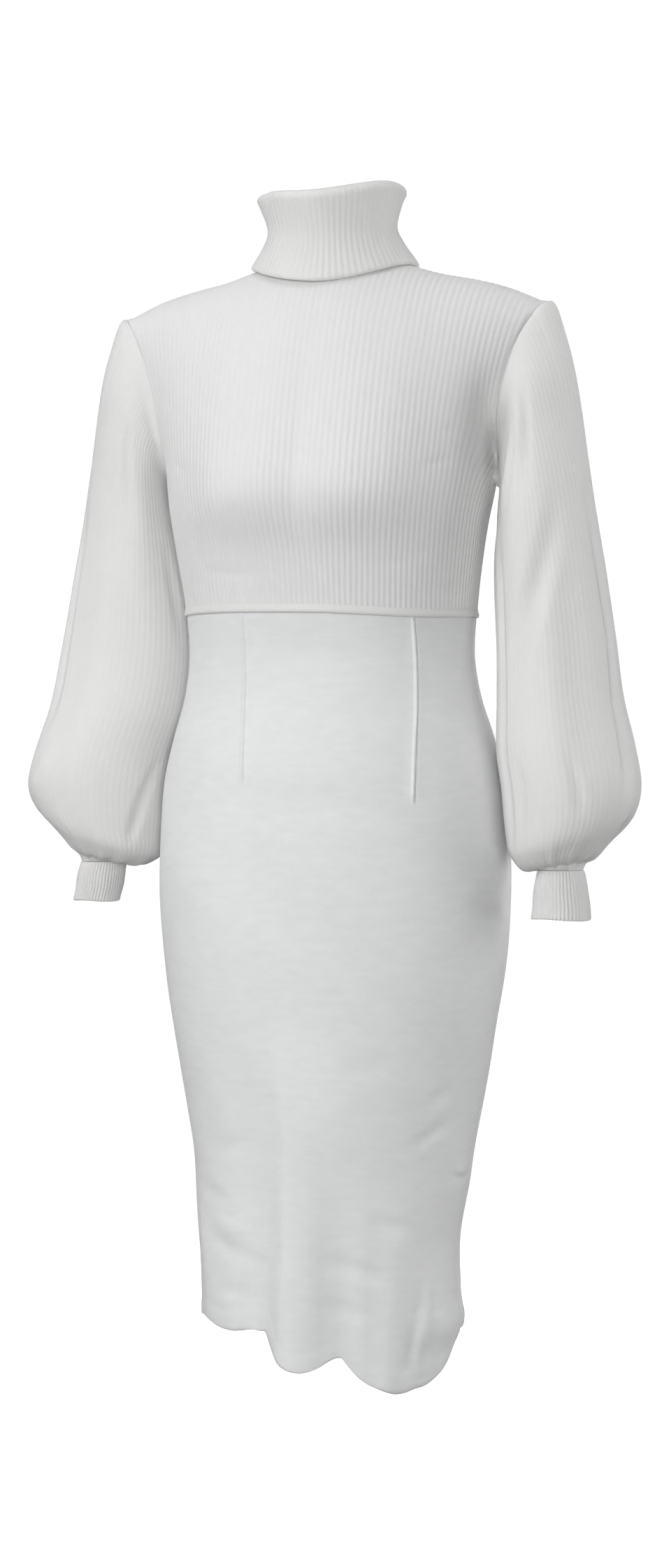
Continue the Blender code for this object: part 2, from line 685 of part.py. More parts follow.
def cuff_rows(side):
    """A cuff's rows, from its open end up to the sleeve."""
    last = sleeve_sizes(side, np.array([len(SLEEVE["outer_x"]) - 1.0]))
    middle_x = (last["outer_x"][0] + last["inner_x"][0]) / 2
    size = CUFFS[side]
    outer, inner = [], []
    for share in (1.0, 0.5, 0.0):
        radius = size["top_radius"] + (size["end_radius"] - size["top_radius"]) * share
        for target, count, sign in ((outer, 2 * CUFF_RIBS, 1), (inner, 16, -1)):
            turn = np.linspace(0, 1, count + 1)
            ridge = (np.arange(count + 1) % 2 == 0) * (sign > 0)
            reach = radius + sign * WALL / 2 + RIB_HEIGHT * ridge
            angle = turn * 2 * math.pi
            ring = np.stack([
                (middle_x + size["lean"] * share - reach * np.cos(angle)) * side,
                last["middle_y"][0] - reach * CUFF_DEPTH_SHARE * np.sin(angle),
                last["outer_z"][0] - SEAM_GAP - size["drop"] * share + 0 * angle,
            ], axis=-1)
            target.append((turn, ring))
    return outer, inner


def collar_ring(radius, height, turn):
    """Middle-of-wall points round the collar, from the front towards the wearer's left."""
    angle = turn * 2 * math.pi
    edge = level(COLLAR_EDGE_Z, angle)
    top = level(COLLAR_TOP_Z, angle) + COLLAR_TILT * np.sin(angle)
    return np.stack([
        radius * np.sin(angle),
        NECK_Y + NECK_LEAN * height - radius * NECK_ASPECT * np.cos(angle),
        edge + height * (top - edge),
    ], axis=-1)


def collar_rows():
    """The collar's rows, from the free edge over the roll to the neck seam."""
    dense = np.linspace(0, 1, 8 * COLLAR_PLAIN_COLUMNS + 1)
    grid = np.array([
        collar_ring(radius, height, dense)
        for radius, height in zip(COLLAR["radius"], COLLAR["height"])
    ])
    grid[-1, :, 2] = neck_height(dense * 2 * math.pi) + NECK_SEAT
    along, up = np.gradient(grid, axis=1), np.gradient(grid, axis=0)
    along[:, 0] = along[:, -1] = grid[:, 1] - grid[:, -2]
    normals = unit(np.cross(along, up))
    outer, inner = [], []
    for row, ribbed in enumerate(COLLAR["ribbed"]):
        count = 2 * COLLAR_RIBS if ribbed else COLLAR_PLAIN_COLUMNS
        for target, columns, sign in ((outer, count, 1), (inner, COLLAR_PLAIN_COLUMNS, -1)):
            marks = np.linspace(0, 1, columns + 1)
            ridge = (np.arange(columns + 1) % 2 == 0) * ribbed * (sign > 0)
            lift = sign * WALL / 2 + RIB_HEIGHT * ridge
            points = read_row(grid[row], dense, marks)
            points = points + read_normal(normals[row], dense, marks) * lift[:, None]
            target.append((marks, points))
    return outer, inner


def welt_rows():
    """The welt's rows: a rounded band round the waist seam, just clear of both walls."""
    turn = np.linspace(0, 1, WELT_COLUMNS + 1)
    outer, inner = [], []
    clear = WALL / 2 + RIB_HEIGHT + WELT_CLEAR
    for rise, out in ((-0.5, 0.35), (-0.2, 1.0), (0.2, 1.0), (0.5, 0.35)):
        outer.append((turn, welt_ring(turn, rise, clear + WELT_THICK * out)))
    for rise in (-0.5, 0.5):
        inner.append((turn, welt_ring(turn, rise, clear)))
    return outer, inner


def welt_ring(turn, rise, out):
    """A ring round the waist seam, moved up by a share of the welt's height and moved out."""
    angle = turn * 2 * math.pi
    across = np.arcsin(np.clip(np.sin(angle), -1, 1)) / (math.pi / 2)
    front = np.cos(angle) > 0
    line = np.where(
        front,
        curve(WAIST_LINE["across"], WAIST_LINE["front"], across),
        curve(WAIST_LINE["across"], WAIST_LINE["back"], across),
    )
    height = line + rise * WELT_HEIGHT
    ring = np.where(front[:, None], section_point(height, across, -1),
                    section_point(height, across, 1))
    along = np.gradient(ring, axis=0)
    along[0] = along[-1] = ring[1] - ring[-2]
    normal = unit(np.cross(along, np.array([0, 0, 1.0])))
    return ring + normal * out


def clear_scene():
    for item in list(bpy.data.objects):
        bpy.data.objects.remove(item, do_unlink=True)


def build_dress():
    clear_scene()
    collection = bpy.data.collections.new("sweater_dress")
    bpy.context.scene.collection.children.link(collection)
    edges = {}
    for side, name in ((-1, "front"), (1, "back")):
        outer, inner, edges[side] = bodice_panel(side)
        add_piece(f"bodice_{name}", "bodice", *wall_mesh(outer, inner, False), collection)
        add_piece(f"skirt_{name}", "skirt", *wall_mesh(*skirt_panel(side), False), collection)
    for side, name in ((1, "left"), (-1, "right")):
        add_piece(f"sleeve_{name}", "sleeve",
                  *wall_mesh(*sleeve_rows(side, edges), True), collection)
        add_piece(f"cuff_{name}", "trim", *wall_mesh(*cuff_rows(side), True), collection)
    add_piece("collar", "trim", *wall_mesh(*collar_rows(), True), collection)
    add_piece("waist_welt", "trim", *wall_mesh(*welt_rows(), True), collection)


build_dress()
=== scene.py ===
import math

import bpy
import numpy as np
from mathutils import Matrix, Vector


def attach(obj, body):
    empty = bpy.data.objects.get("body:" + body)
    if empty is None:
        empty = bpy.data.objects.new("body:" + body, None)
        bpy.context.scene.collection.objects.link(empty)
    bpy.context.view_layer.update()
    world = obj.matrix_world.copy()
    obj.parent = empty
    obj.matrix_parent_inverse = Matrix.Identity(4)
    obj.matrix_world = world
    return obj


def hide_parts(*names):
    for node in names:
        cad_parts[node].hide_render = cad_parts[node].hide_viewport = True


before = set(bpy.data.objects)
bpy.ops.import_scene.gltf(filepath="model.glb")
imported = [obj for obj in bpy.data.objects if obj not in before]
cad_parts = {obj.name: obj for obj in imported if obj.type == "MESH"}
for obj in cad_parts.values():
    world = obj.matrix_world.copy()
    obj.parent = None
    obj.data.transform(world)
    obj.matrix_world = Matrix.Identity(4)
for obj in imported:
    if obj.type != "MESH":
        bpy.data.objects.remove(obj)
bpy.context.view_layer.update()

for item in list(bpy.context.selected_objects):
    item.select_set(False)
print("frame loaded")

# Camera, level with the figure's hips and a little to the wearer's left.
cameraView = {"azimuth": 15.0, "distance": 2.6, "height": -0.461, "sideways": 0.0019, "lens": 65.71}
turned = math.radians(cameraView["azimuth"])
aim = Vector((-math.sin(turned), math.cos(turned), 0))
across = Vector((math.cos(turned), math.sin(turned), 0))
cameraData = bpy.data.cameras.new("camera")
cameraData.sensor_width = 36
cameraData.lens = cameraView["lens"]
cameraData.clip_start = 0.05
cameraData.clip_end = 60
camera = bpy.data.objects.new("camera", cameraData)
bpy.context.scene.collection.objects.link(camera)
camera.location = (
    -aim * cameraView["distance"]
    + across * cameraView["sideways"]
    + Vector((0, 0, cameraView["height"]))
)
camera.rotation_mode = "QUATERNION"
camera.rotation_quaternion = aim.to_track_quat("-Z", "Y")
bpy.context.scene.camera = camera
bpy.context.scene.view_settings.view_transform = "Standard"


# Tables and curves. Lengths and heights are in metres.
def tableOf(columns, rows):
    return dict(zip(columns.split(), np.array(rows, float).T))


def curveAt(knots, values, at):
    # A smooth curve through the knots, level past its ends.
    slope = np.gradient(values, knots)
    at = np.clip(at, knots[0], knots[-1])
    cell = np.clip(np.searchsorted(knots, at, side="right") - 1, 0, len(knots) - 2)
    width = knots[cell + 1] - knots[cell]
    share = (at - knots[cell]) / width
    start, end = values[cell], values[cell + 1]
    bend = start * (1 + 2 * share) + slope[cell] * width * share
    rest = end * (3 - 2 * share) - slope[cell + 1] * width * (1 - share)
    return bend * (1 - share) ** 2 + rest * share**2


def smoothStep(low, high, value):
    share = np.clip((value - low) / (high - low), 0, 1)
    return share * share * (3 - 2 * share)


def hump(distance, halfWidth):
    return np.cos(np.clip(distance / halfWidth, -1, 1) * math.pi / 2) ** 2


def waves(seed, *places):
    # A smooth, uneven signal between about -1 and 1.
    total = 0
    for k in range(4):
        phase = seed * (k + 1.3) * 2.17
        run = sum((0.6 + 0.45 * k) * place * (1 + 0.31 * j) for j, place in enumerate(places))
        total = total + np.sin(run + phase)
    return total / 2.6


def ribShape(phase):
    # A rounded rib for each turn of the phase, 1 high.
    ridge = 0.5 + 0.5 * np.cos(phase)
    return ridge * (1.25 - 0.25 * ridge)


def unit(vectors):
    return vectors / np.linalg.norm(vectors, axis=-1, keepdims=True)


def squared(normals, axis):
    # Normals turned square to an axis, so that the pieces on both sides of a seam meet flush.
    normals = normals.copy()
    normals[..., axis] = 0
    return unit(normals)


def runAlong(points, axis=0):
    # The distance along each line of points, from its start.
    steps = np.linalg.norm(np.diff(points, axis=axis), axis=-1)
    return np.insert(steps.cumsum(axis=axis), 0, 0, axis=axis)


def readRow(values, places, marks):
    return np.stack([np.interp(marks, places, column) for column in values.T], axis=-1)


def paired(first, second):
    # Pairs of values, where one side may be a single number.
    return np.stack(np.broadcast_arrays(first, second), axis=-1)


def ringDirections(points):
    # Directions along a closed ring, whose last point is its first.
    along = np.gradient(points, axis=0)
    along[0] = along[-1] = points[1] - points[-2]
    return along


def gridNormals(grid, outward, closed=False):
    alongColumns = np.gradient(grid, axis=1)
    if closed:
        alongColumns[:, 0] = alongColumns[:, -1] = (grid[:, 1] - grid[:, -2]) / 2
    return unit(np.cross(alongColumns, np.gradient(grid, axis=0))) * outward


def tubeNormals(grid, ring):
    # Normals of a tube of closed rings, turned so that they point outwards on one ring.
    normals = gridNormals(grid, 1, True)
    outward = ((grid[ring] - grid[ring].mean(axis=0)) * normals[ring]).sum(axis=1).mean()
    return normals if outward > 0 else -normals


def lineOut(first, second, creases, firstScale=1.0, secondScale=1.0):
    # Ridges (out > 0) and troughs (out < 0) along lines, easing in and out at the ends.
    out = np.zeros(np.broadcast(first, second).shape)
    placeA, placeB = first * firstScale, second * secondScale
    for line, halfWidth, height in creases:
        points = np.array(line, float) * (firstScale, secondScale)
        ends = runAlong(points)
        best = np.full(out.shape, 1e9)
        along = np.zeros(out.shape)
        for k, (a, b) in enumerate(zip(points, points[1:])):
            run = b - a
            share = ((placeA - a[0]) * run[0] + (placeB - a[1]) * run[1]) / (run @ run)
            share = np.clip(share, 0, 1)
            gap = np.hypot(placeA - a[0] - share * run[0], placeB - a[1] - share * run[1])
            closer = gap < best
            best = np.where(closer, gap, best)
            along = np.where(closer, ends[k] + share * (ends[k + 1] - ends[k]), along)
        ease = min(0.45 * ends[-1], 4 * halfWidth)
        taper = smoothStep(0, ease, along) * smoothStep(0, ease, ends[-1] - along)
        out = out + height * taper * hump(best, halfWidth)
    return out


# Knit finishes.
stitchLook = {
    "wobbleScale": 140, "fuzzScale": 1900, "fuzzShare": 0.35, "legRound": 0.6, "loopShare": 0.25,
}


def addNode(tree, kind, inputs=(), **settings):
    # Each input takes a value, or the socket that feeds it.
    node = tree.nodes.new("ShaderNode" + kind)
    for name, value in settings.items():
        setattr(node, name, value)
    for name, value in dict(inputs).items():
        if isinstance(value, bpy.types.NodeSocket):
            tree.links.new(value, node.inputs[name])
        else:
            node.inputs[name].default_value = value
    return node


def addMath(tree, operation, *values, clamp=False):
    node = addNode(tree, "Math", dict(enumerate(values)), operation=operation, use_clamp=clamp)
    return node.outputs[0]


def stitchGroup():
    # Knit stitches in a UV map in metres: two slanted legs a wale, one loop a course.
    group = bpy.data.node_groups.new("knitStitches", "ShaderNodeTree")
    face = group.interface
    face.new_socket("Vector", in_out="INPUT", socket_type="NodeSocketVector")
    for name in ("Stitch Width", "Stitch Height", "Slant", "Unevenness"):
        face.new_socket(name, in_out="INPUT", socket_type="NodeSocketFloat")
    for name in ("Height", "Shade", "Fuzz"):
        face.new_socket(name, in_out="OUTPUT", socket_type="NodeSocketFloat")
    given = group.nodes.new("NodeGroupInput").outputs
    result = group.nodes.new("NodeGroupOutput").inputs

    def maths(operation, *values, clamp=False):
        return addMath(group, operation, *values, clamp=clamp)

    def vectors(operation, inputs):
        return addNode(group, "VectorMath", inputs, operation=operation).outputs[0]

    wobble = addNode(group, "TexNoise", {
        "Vector": given["Vector"], "Scale": stitchLook["wobbleScale"], "Detail": 1,
    })
    middle = vectors("SUBTRACT", {0: wobble.outputs["Color"], 1: (0.5, 0.5, 0.5)})
    shift = vectors("SCALE", {0: middle, "Scale": given["Unevenness"]})
    place = vectors("ADD", {0: given["Vector"], 1: shift})
    split = addNode(group, "SeparateXYZ", {0: place}).outputs
    wale = maths("DIVIDE", split["X"], given["Stitch Width"])
    course = maths("DIVIDE", split["Y"], given["Stitch Height"])
    fromMiddle = maths("ABSOLUTE", maths("SUBTRACT", maths("FRACT", wale), 0.5))
    side = maths("MULTIPLY", fromMiddle, 2.0)
    slanted = maths("MULTIPLY", side, given["Slant"])
    loop = maths("COSINE", maths("MULTIPLY", maths("ADD", course, slanted), 2 * math.pi))
    leg = maths("SINE", maths("MULTIPLY", side, math.pi))
    rounded = maths("POWER", maths("MAXIMUM", leg, 0.0), stitchLook["legRound"])
    share = stitchLook["loopShare"]
    height = maths("MULTIPLY", rounded, maths("MULTIPLY_ADD", loop, share, 1 - share))
    fuzz = addNode(group, "TexNoise", {
        "Vector": given["Vector"], "Scale": stitchLook["fuzzScale"],
        "Detail": 3, "Roughness": 0.65,
    }).outputs["Fac"]
    fuzzy = maths("MULTIPLY_ADD", fuzz, stitchLook["fuzzShare"], height)
    group.links.new(fuzzy, result["Height"])
    # Shade, the height turned over, marks the grooves between the legs, where painted shade goes.
    group.links.new(maths("MULTIPLY_ADD", height, -1.0, 1.0, clamp=True), result["Shade"])
    group.links.new(fuzz, result["Fuzz"])
    return group


stitches = stitchGroup()


def knitMaterial(name, look):
    material = bpy.data.materials.new(name)
    material.use_nodes = True
    tree = material.node_tree
    knit = addNode(tree, "Group", {
        "Vector": addNode(tree, "UVMap", uv_map="knitMap").outputs["UV"],
        "Stitch Width": look["stitchWide"], "Stitch Height": look["stitchTall"],
        "Slant": look["slant"], "Unevenness": look["unevenness"],
    }, node_tree=stitches).outputs
    place = addNode(tree, "TexCoord").outputs["Object"]
    patches = addNode(tree, "TexNoise", {
        "Vector": place, "Scale": look["patchScale"], "Detail": 4,
    })
    stretch = look["fleckStretch"]
    crosswise = addNode(tree, "Mapping", {"Vector": place, "Scale": (stretch, stretch, 1)})
    flecks = addNode(tree, "TexNoise", {
        "Vector": crosswise.outputs["Vector"], "Scale": look["fleckScale"], "Detail": 3,
    })
    blotch = addMath(tree, "MULTIPLY_ADD", flecks.outputs["Fac"], look["fleckShare"],
                     -look["fleckShare"] / 2)
    mottle = addMath(tree, "ADD", patches.outputs["Fac"], blotch, clamp=True)
    tone = addNode(tree, "Mix", {
        "A": look["colour"], "B": look["patchColour"], "Factor": mottle,
    }, data_type="RGBA")
    # Painted shade: the tone is darkened towards the groove colour in the grooves between the
    # stitch legs.
    shadedTone = addNode(tree, "Mix", {
        "A": tone.outputs["Result"], "B": look["grooveShadeColour"],
        "Factor": addMath(tree, "MULTIPLY", knit["Shade"], look["grooveShade"]),
    }, data_type="RGBA")
    rough = addNode(tree, "MapRange", {
        "Value": knit["Fuzz"],
        "To Min": look["roughness"] - look["smoother"],
        "To Max": look["roughness"] + look["rougher"],
    })
    bump = addNode(tree, "Bump", {
        "Strength": look["bump"], "Distance": look["bumpDistance"], "Height": knit["Height"],
    })
    shader = tree.nodes["Principled BSDF"].inputs
    tree.links.new(shadedTone.outputs["Result"], shader["Base Color"])
    tree.links.new(rough.outputs["Result"], shader["Roughness"])
    tree.links.new(bump.outputs["Normal"], shader["Normal"])
    shader["Metallic"].default_value = 0.0
    shader["Specular IOR Level"].default_value = look["specular"]
    shader["Sheen Weight"].default_value = look["sheen"]
    shader["Sheen Roughness"].default_value = look["sheenRoughness"]
    return material


# What the four knits share. A fleck stretch under 1 draws the flecks out into streaks.
# The groove colour is painted shade: each knit's grooves between stitches are darkened towards it,
# as far as the groove shade says.
knitLook = {
    "grooveShadeColour": (0.560, 0.556, 0.542, 1), "grooveShade": 0.30,
    "stitchTall": 0.0016, "slant": 0.8, "unevenness": 0.0005,
    "fleckScale": 150, "fleckStretch": 1.0, "fleckShare": 1.0,
    "roughness": 0.88, "smoother": 0.08, "rougher": 0.06, "specular": 0.18,
    "bump": 0.55, "bumpDistance": 0.00035, "sheen": 0.22, "sheenRoughness": 0.45,
}
knitBodice = knitMaterial("knitBodice", {
    **knitLook,
    "colour": (0.812, 0.816, 0.811, 1), "patchColour": (0.772, 0.776, 0.772, 1),
    "grooveShadeColour": (0.560, 0.560, 0.550, 1), "stitchWide": 0.00183, "patchScale": 14,
})
knitSleeve = knitMaterial("knitSleeve", {
    **knitLook,
    "colour": (0.812, 0.812, 0.803, 1), "patchColour": (0.772, 0.771, 0.762, 1),
    "stitchWide": 0.00167, "patchScale": 12,
})
knitTrim = knitMaterial("knitTrim", {
    **knitLook,
    "colour": (0.815, 0.812, 0.798, 1), "patchColour": (0.770, 0.768, 0.757, 1),
    "grooveShadeColour": (0.560, 0.556, 0.545, 1), "stitchWide": 0.00155, "patchScale": 16,
    "stitchTall": 0.0015, "unevenness": 0.0004, "bump": 0.60,
})
knitSkirt = knitMaterial("knitSkirt", {
    **knitLook,
    "colour": (0.826, 0.829, 0.830, 1), "patchColour": (0.738, 0.746, 0.753, 1),
    "grooveShadeColour": (0.560, 0.566, 0.575, 1), "grooveShade": 0.26,
    "stitchWide": 0.0021, "stitchTall": 0.0017, "slant": 0.55, "unevenness": 0.0006,
    "patchScale": 9, "fleckScale": 160, "fleckStretch": 0.34, "fleckShare": 1.1,
    "roughness": 0.86, "bump": 0.45, "bumpDistance": 0.00030, "sheen": 0.20,
})
print("materials made")

# Cloth thickness and seams.
clothMake = {
    "wall": 0.002,
    "seamGap": 0.0003,
    "waistGap": 0.0005,
    "seamDip": 0.0010,
    "seamDipWide": 0.0030,
    "sharpAngle": math.radians(62),
}
pieces = {}


class ClothMesh:
    # Rows of points joined by faces, with a UV for each corner of each face.
    def __init__(self):
        self.points = []
        self.faces = []
        self.uvs = []
        self.count = 0

    def addRow(self, keys, points, uvs, closed):
        kept = points[:-1] if closed else points
        indices = np.arange(self.count, self.count + len(kept))
        self.count += len(kept)
        self.points.append(kept)
        if closed:
            indices = np.append(indices, indices[0])
        return keys, indices, uvs

    def joinEven(self, low, high, turned):
        (_, lower, lowUvs), (_, upper, highUvs) = low, high
        quads = np.stack([lower[:-1], lower[1:], upper[1:], upper[:-1]], axis=1)
        corners = np.stack([lowUvs[:-1], lowUvs[1:], highUvs[1:], highUvs[:-1]], axis=1)
        if turned:
            quads, corners = quads[:, ::-1], corners[:, ::-1]
        self.faces.extend(quads.tolist())
        self.uvs.append(corners.reshape(-1, 2))

    def join(self, low, high, turned):
        (lowKeys, lower, lowUvs), (highKeys, upper, highUvs) = low, high
        if len(lower) == len(upper):
            self.joinEven(low, high, turned)
            return
        i = j = 0
        lastLow, lastHigh = len(lower) - 1, len(upper) - 1
        corners = []
        while i < lastLow or j < lastHigh:
            if j == lastHigh or (i < lastLow and lowKeys[i + 1] <= highKeys[j + 1] + 1e-9):
                i += 1
                ahead = (lower[i], lowUvs[i])
                face = [(lower[i - 1], lowUvs[i - 1]), ahead, (upper[j], highUvs[j])]
            else:
                j += 1
                ahead = (upper[j], highUvs[j])
                face = [(lower[i], lowUvs[i]), ahead, (upper[j - 1], highUvs[j - 1])]
            if turned:
                face = face[::-1]
            self.faces.append([int(index) for index, _ in face])
            corners.extend(uv for _, uv in face)
        self.uvs.append(np.array(corners))

    def volume(self):
        points = np.concatenate(self.points)
        triangles = [face[:3] for face in self.faces]
        triangles += [[face[0], face[2], face[3]] for face in self.faces if len(face) == 4]
        a, b, c = points[np.array(triangles)].transpose(1, 0, 2)
        return (a * np.cross(b, c)).sum()


def clothPiece(name, material, outer, inner, closed):
    # A thin closed shell: outer rows, inner rows, and the edges between them.
    cloth = ClothMesh()
    outRows = [cloth.addRow(*row, closed) for row in outer]
    inRows = [cloth.addRow(*row, closed) for row in inner]
    for rows, turned in ((outRows, False), (inRows, True)):
        for low, high in zip(rows, rows[1:]):
            cloth.join(low, high, turned)
    cloth.join(inRows[0], outRows[0], False)
    cloth.join(outRows[-1], inRows[-1], False)
    if not closed:
        for end in (0, -1):
            outEdge, inEdge = [
                (np.linspace(0, 1, len(rows)), np.array([row[1][end] for row in rows]),
                 np.array([row[2][end] for row in rows]))
                for rows in (outRows, inRows)
            ]
            cloth.join(outEdge, inEdge, end == -1)
    mesh = bpy.data.meshes.new(name)
    mesh.from_pydata(np.concatenate(cloth.points).tolist(), [], cloth.faces)
    layer = mesh.uv_layers.new(name="knitMap")
    layer.data.foreach_set("uv", np.concatenate(cloth.uvs).astype(np.float32).ravel())
    if cloth.volume() < 0:
        mesh.flip_normals()
    mesh.shade_smooth()
    mesh.set_sharp_from_angle(angle=clothMake["sharpAngle"])
    mesh.materials.append(material)
    pieces[name] = bpy.data.objects.new(name, mesh)
    bpy.context.scene.collection.objects.link(pieces[name])
    print(name, cloth.count, "points", len(cloth.faces), "faces")


def roundedEdge(outer, inner):
    # Adds rows before the first that turn the open edge round in the middle of the wall.
    keys, edge, uvs = outer[0]
    within = readRow(inner[0][1], inner[0][0], keys)
    middle, half = (edge + within) / 2, (edge - within) / 2
    step = edge - outer[1][1]
    away = unit(step - half * ((step * half).sum(axis=1) / (half * half).sum(axis=1))[:, None])
    reach = np.linalg.norm(half, axis=1, keepdims=True)
    turned = []
    for angle in (155, 125, 90, 55, 25):
        a = math.radians(angle)
        row = middle + half * math.cos(a) + away * reach * math.sin(a) * 0.9
        turned.append((keys, row, uvs - (0, 0.001 * angle / 90)))
    return turned + outer


# Level sections of bodice and skirt, down the figure: two half superellipses that meet at the
# sides. A part runs from -1 to 1 across a panel, and side is -1 for the front, 1 for the back.
figureLook = {
    "squareness": 2.2,
    "bustX": 0.074,
    "bustZ": -0.205,
    "bustWide": 0.039,
    "bustBetween": 0.090,
    "bustAbove": 0.060,
    "bustBelow": 0.037,
    "bustOut": 0.0190,
}
bodyTable = tableOf("height halfWidth front side back", (
    (-0.160, 0.1520, -0.1140, -0.004, 0.100),
    (-0.190, 0.1490, -0.1200, -0.008, 0.099),
    (-0.229, 0.1420, -0.1205, -0.013, 0.096),
    (-0.258, 0.1375, -0.1145, -0.012, 0.092),
    (-0.307, 0.1313, -0.1060, -0.006, 0.087),
    (-0.350, 0.1297, -0.0990, -0.005, 0.085),
    (-0.382, 0.1347, -0.1020, -0.002, 0.093),
    (-0.417, 0.1455, -0.1080, 0.000, 0.104),
    (-0.447, 0.1525, -0.1120, 0.002, 0.113),
    (-0.494, 0.1577, -0.1150, 0.004, 0.122),
    (-0.552, 0.1600, -0.1150, 0.005, 0.125),
    (-0.628, 0.1545, -0.1120, 0.005, 0.118),
    (-0.689, 0.1455, -0.1080, 0.005, 0.109),
    (-0.750, 0.1345, -0.1040, 0.005, 0.100),
    (-0.800, 0.1260, -0.1010, 0.001, 0.093),
    (-0.850, 0.1215, -0.1000, -0.004, 0.088),
    (-0.902, 0.1180, -0.1000, -0.008, 0.083),
    (-0.990, 0.1160, -0.1000, -0.008, 0.080),
))
waistTable = tableOf("across front back", (
    (-1.0, -0.3065, -0.3065),
    (-0.5, -0.3065, -0.3065),
    (0.0, -0.3085, -0.3060),
    (0.5, -0.3125, -0.3065),
    (1.0, -0.3090, -0.3090),
))
panelNames = {-1: "front", 1: "back"}


def bodySize(column, height):
    return curveAt(bodyTable["height"][::-1], bodyTable[column][::-1], height)


def waistHeight(part, side):
    return curveAt(waistTable["across"], waistTable[panelNames[side]], part)


def partAt(x, height):
    share = np.clip(np.abs(x) / bodySize("halfWidth", height), 0, 1)
    return np.sign(x) * np.arcsin(share ** (figureLook["squareness"] / 2)) / (math.pi / 2)


def sectionPoint(height, part, side):
    power = 2 / figureLook["squareness"]
    angle = part * math.pi / 2
    x = np.sign(part) * np.abs(np.sin(angle)) ** power * bodySize("halfWidth", height)
    middle = bodySize("side", height)
    y = middle + (bodySize(panelNames[side], height) - middle) * np.abs(np.cos(angle)) ** power
    if side < 0:
        over = np.abs(x) - figureLook["bustX"]
        over = over / np.where(over > 0, figureLook["bustWide"], figureLook["bustBetween"])
        above = height - figureLook["bustZ"]
        above = above / np.where(above > 0, figureLook["bustAbove"], figureLook["bustBelow"])
        y = y - figureLook["bustOut"] * np.exp(-(over**2) - above**2) * np.cos(angle) ** 2
    return np.stack([x, y, height + 0 * part], axis=-1)


# Bodice: level rows up to the underarm, then columns that curve over to the shoulder seam and
# are cut off by the neck. Reach is the distance across a panel from its middle.
bodiceLook = {
    "ribsPerPanel": 78,
    "pointsPerRib": 6,
    "ribHeight": 0.00048,
    "ribWander": 0.0003,
    "ribUneven": 0.18,
    "yokeStretch": 0.38,  # how much flatter the ribs get between the next two heights
    "stretchFrom": -0.190,
    "stretchFull": -0.090,
    "rowGap": 0.0028,
    "underarmZ": -0.190,
    "yokeLength": 0.215,
    "yokeRise": 0.072,
    "shoulderX": 0.192,
    "shoulderReach": 0.190,
}
neckCut = {"radius": 0.0640, "aspect": 0.95, "middleY": 0.005}
armholeTable = tableOf("share front back", (
    (0.00, 0.0000, 0.0000),
    (0.05, 0.0125, 0.0115),
    (0.15, 0.0250, 0.0240),
    (0.31, 0.0330, 0.0320),
    (0.50, 0.0338, 0.0320),
    (0.75, 0.0285, 0.0250),
    (1.00, 0.0220, 0.0147),
))
yokeTable = tableOf("reach frontZ frontBend backZ backBend", (
    (0.0000, 0.0240, 0.075, 0.0420, 0.096),
    (0.0200, 0.0225, 0.074, 0.0385, 0.095),
    (0.0400, 0.0170, 0.072, 0.0275, 0.090),
    (0.0530, 0.0122, 0.070, 0.0180, 0.083),
    (0.0634, 0.0085, 0.068, 0.0105, 0.077),
    (0.0750, 0.0046, 0.066, 0.0048, 0.072),
    (0.1000, -0.0030, 0.062, -0.0030, 0.066),
    (0.1300, -0.0093, 0.056, -0.0093, 0.061),
    (0.1600, -0.0178, 0.049, -0.0178, 0.055),
    (0.1900, -0.0308, 0.042, -0.0308, 0.048),
))
# Hollows where the cloth is pushed in between arm and chest, on the front only.
hollowTable = tableOf("x height wide tall depth", (
    (0.150, -0.156, 0.0150, 0.0440, 0.0150),
    (0.147, -0.163, 0.0058, 0.0290, 0.0320),
    (-0.152, -0.185, 0.0110, 0.0260, 0.0050),
))
# Creases here and on the skirt: a line of (across, height) points, its half width, and how far
# it stands out.
bodiceCreases = {
    -1: (
        (((0.130, -0.172), (0.115, -0.182), (0.098, -0.186)), 0.0070, -0.0012),
        (((0.132, -0.150), (0.112, -0.155)), 0.0060, -0.0008),
        (((-0.130, -0.172), (-0.115, -0.182), (-0.098, -0.186)), 0.0070, -0.0012),
        (((-0.110, -0.268), (-0.060, -0.277), (-0.020, -0.275)), 0.0090, -0.0007),
        (((0.110, -0.262), (0.055, -0.272)), 0.0090, -0.0007),
        (((0.128, -0.290), (0.085, -0.296)), 0.0060, -0.0006),
    ),
    1: (
        (((-0.110, -0.255), (-0.040, -0.268)), 0.0090, -0.0010),
        (((0.112, -0.262), (0.040, -0.274)), 0.0090, -0.0010),
        (((-0.105, -0.285), (0.100, -0.289)), 0.0060, -0.0007),
        (((0.125, -0.165), (0.095, -0.190)), 0.0080, -0.0012),
        (((-0.125, -0.165), (-0.095, -0.190)), 0.0080, -0.0012),
    ),
}
bodiceParts = np.linspace(-1, 1, 321)


def chestRow(height, side):
    points = sectionPoint(height + 0 * bodiceParts, bodiceParts, side)
    return points, runAlong(points)


def chestReach(side):
    return chestRow(bodiceLook["underarmZ"], side)[1][-1] / 2


def chestLine(reach, side, height):
    points, run = chestRow(height, side)
    run -= run[-1] / 2
    return readRow(points, run, reach * run[-1] / chestReach(side))


def bezierAt(controls, share):
    share = share[:, None]
    rest = 1 - share
    start, leave, arrive, end = controls
    bend = 3 * leave * rest**2 * share + 3 * arrive * rest * share**2
    return start * rest**3 + bend + end * share**3


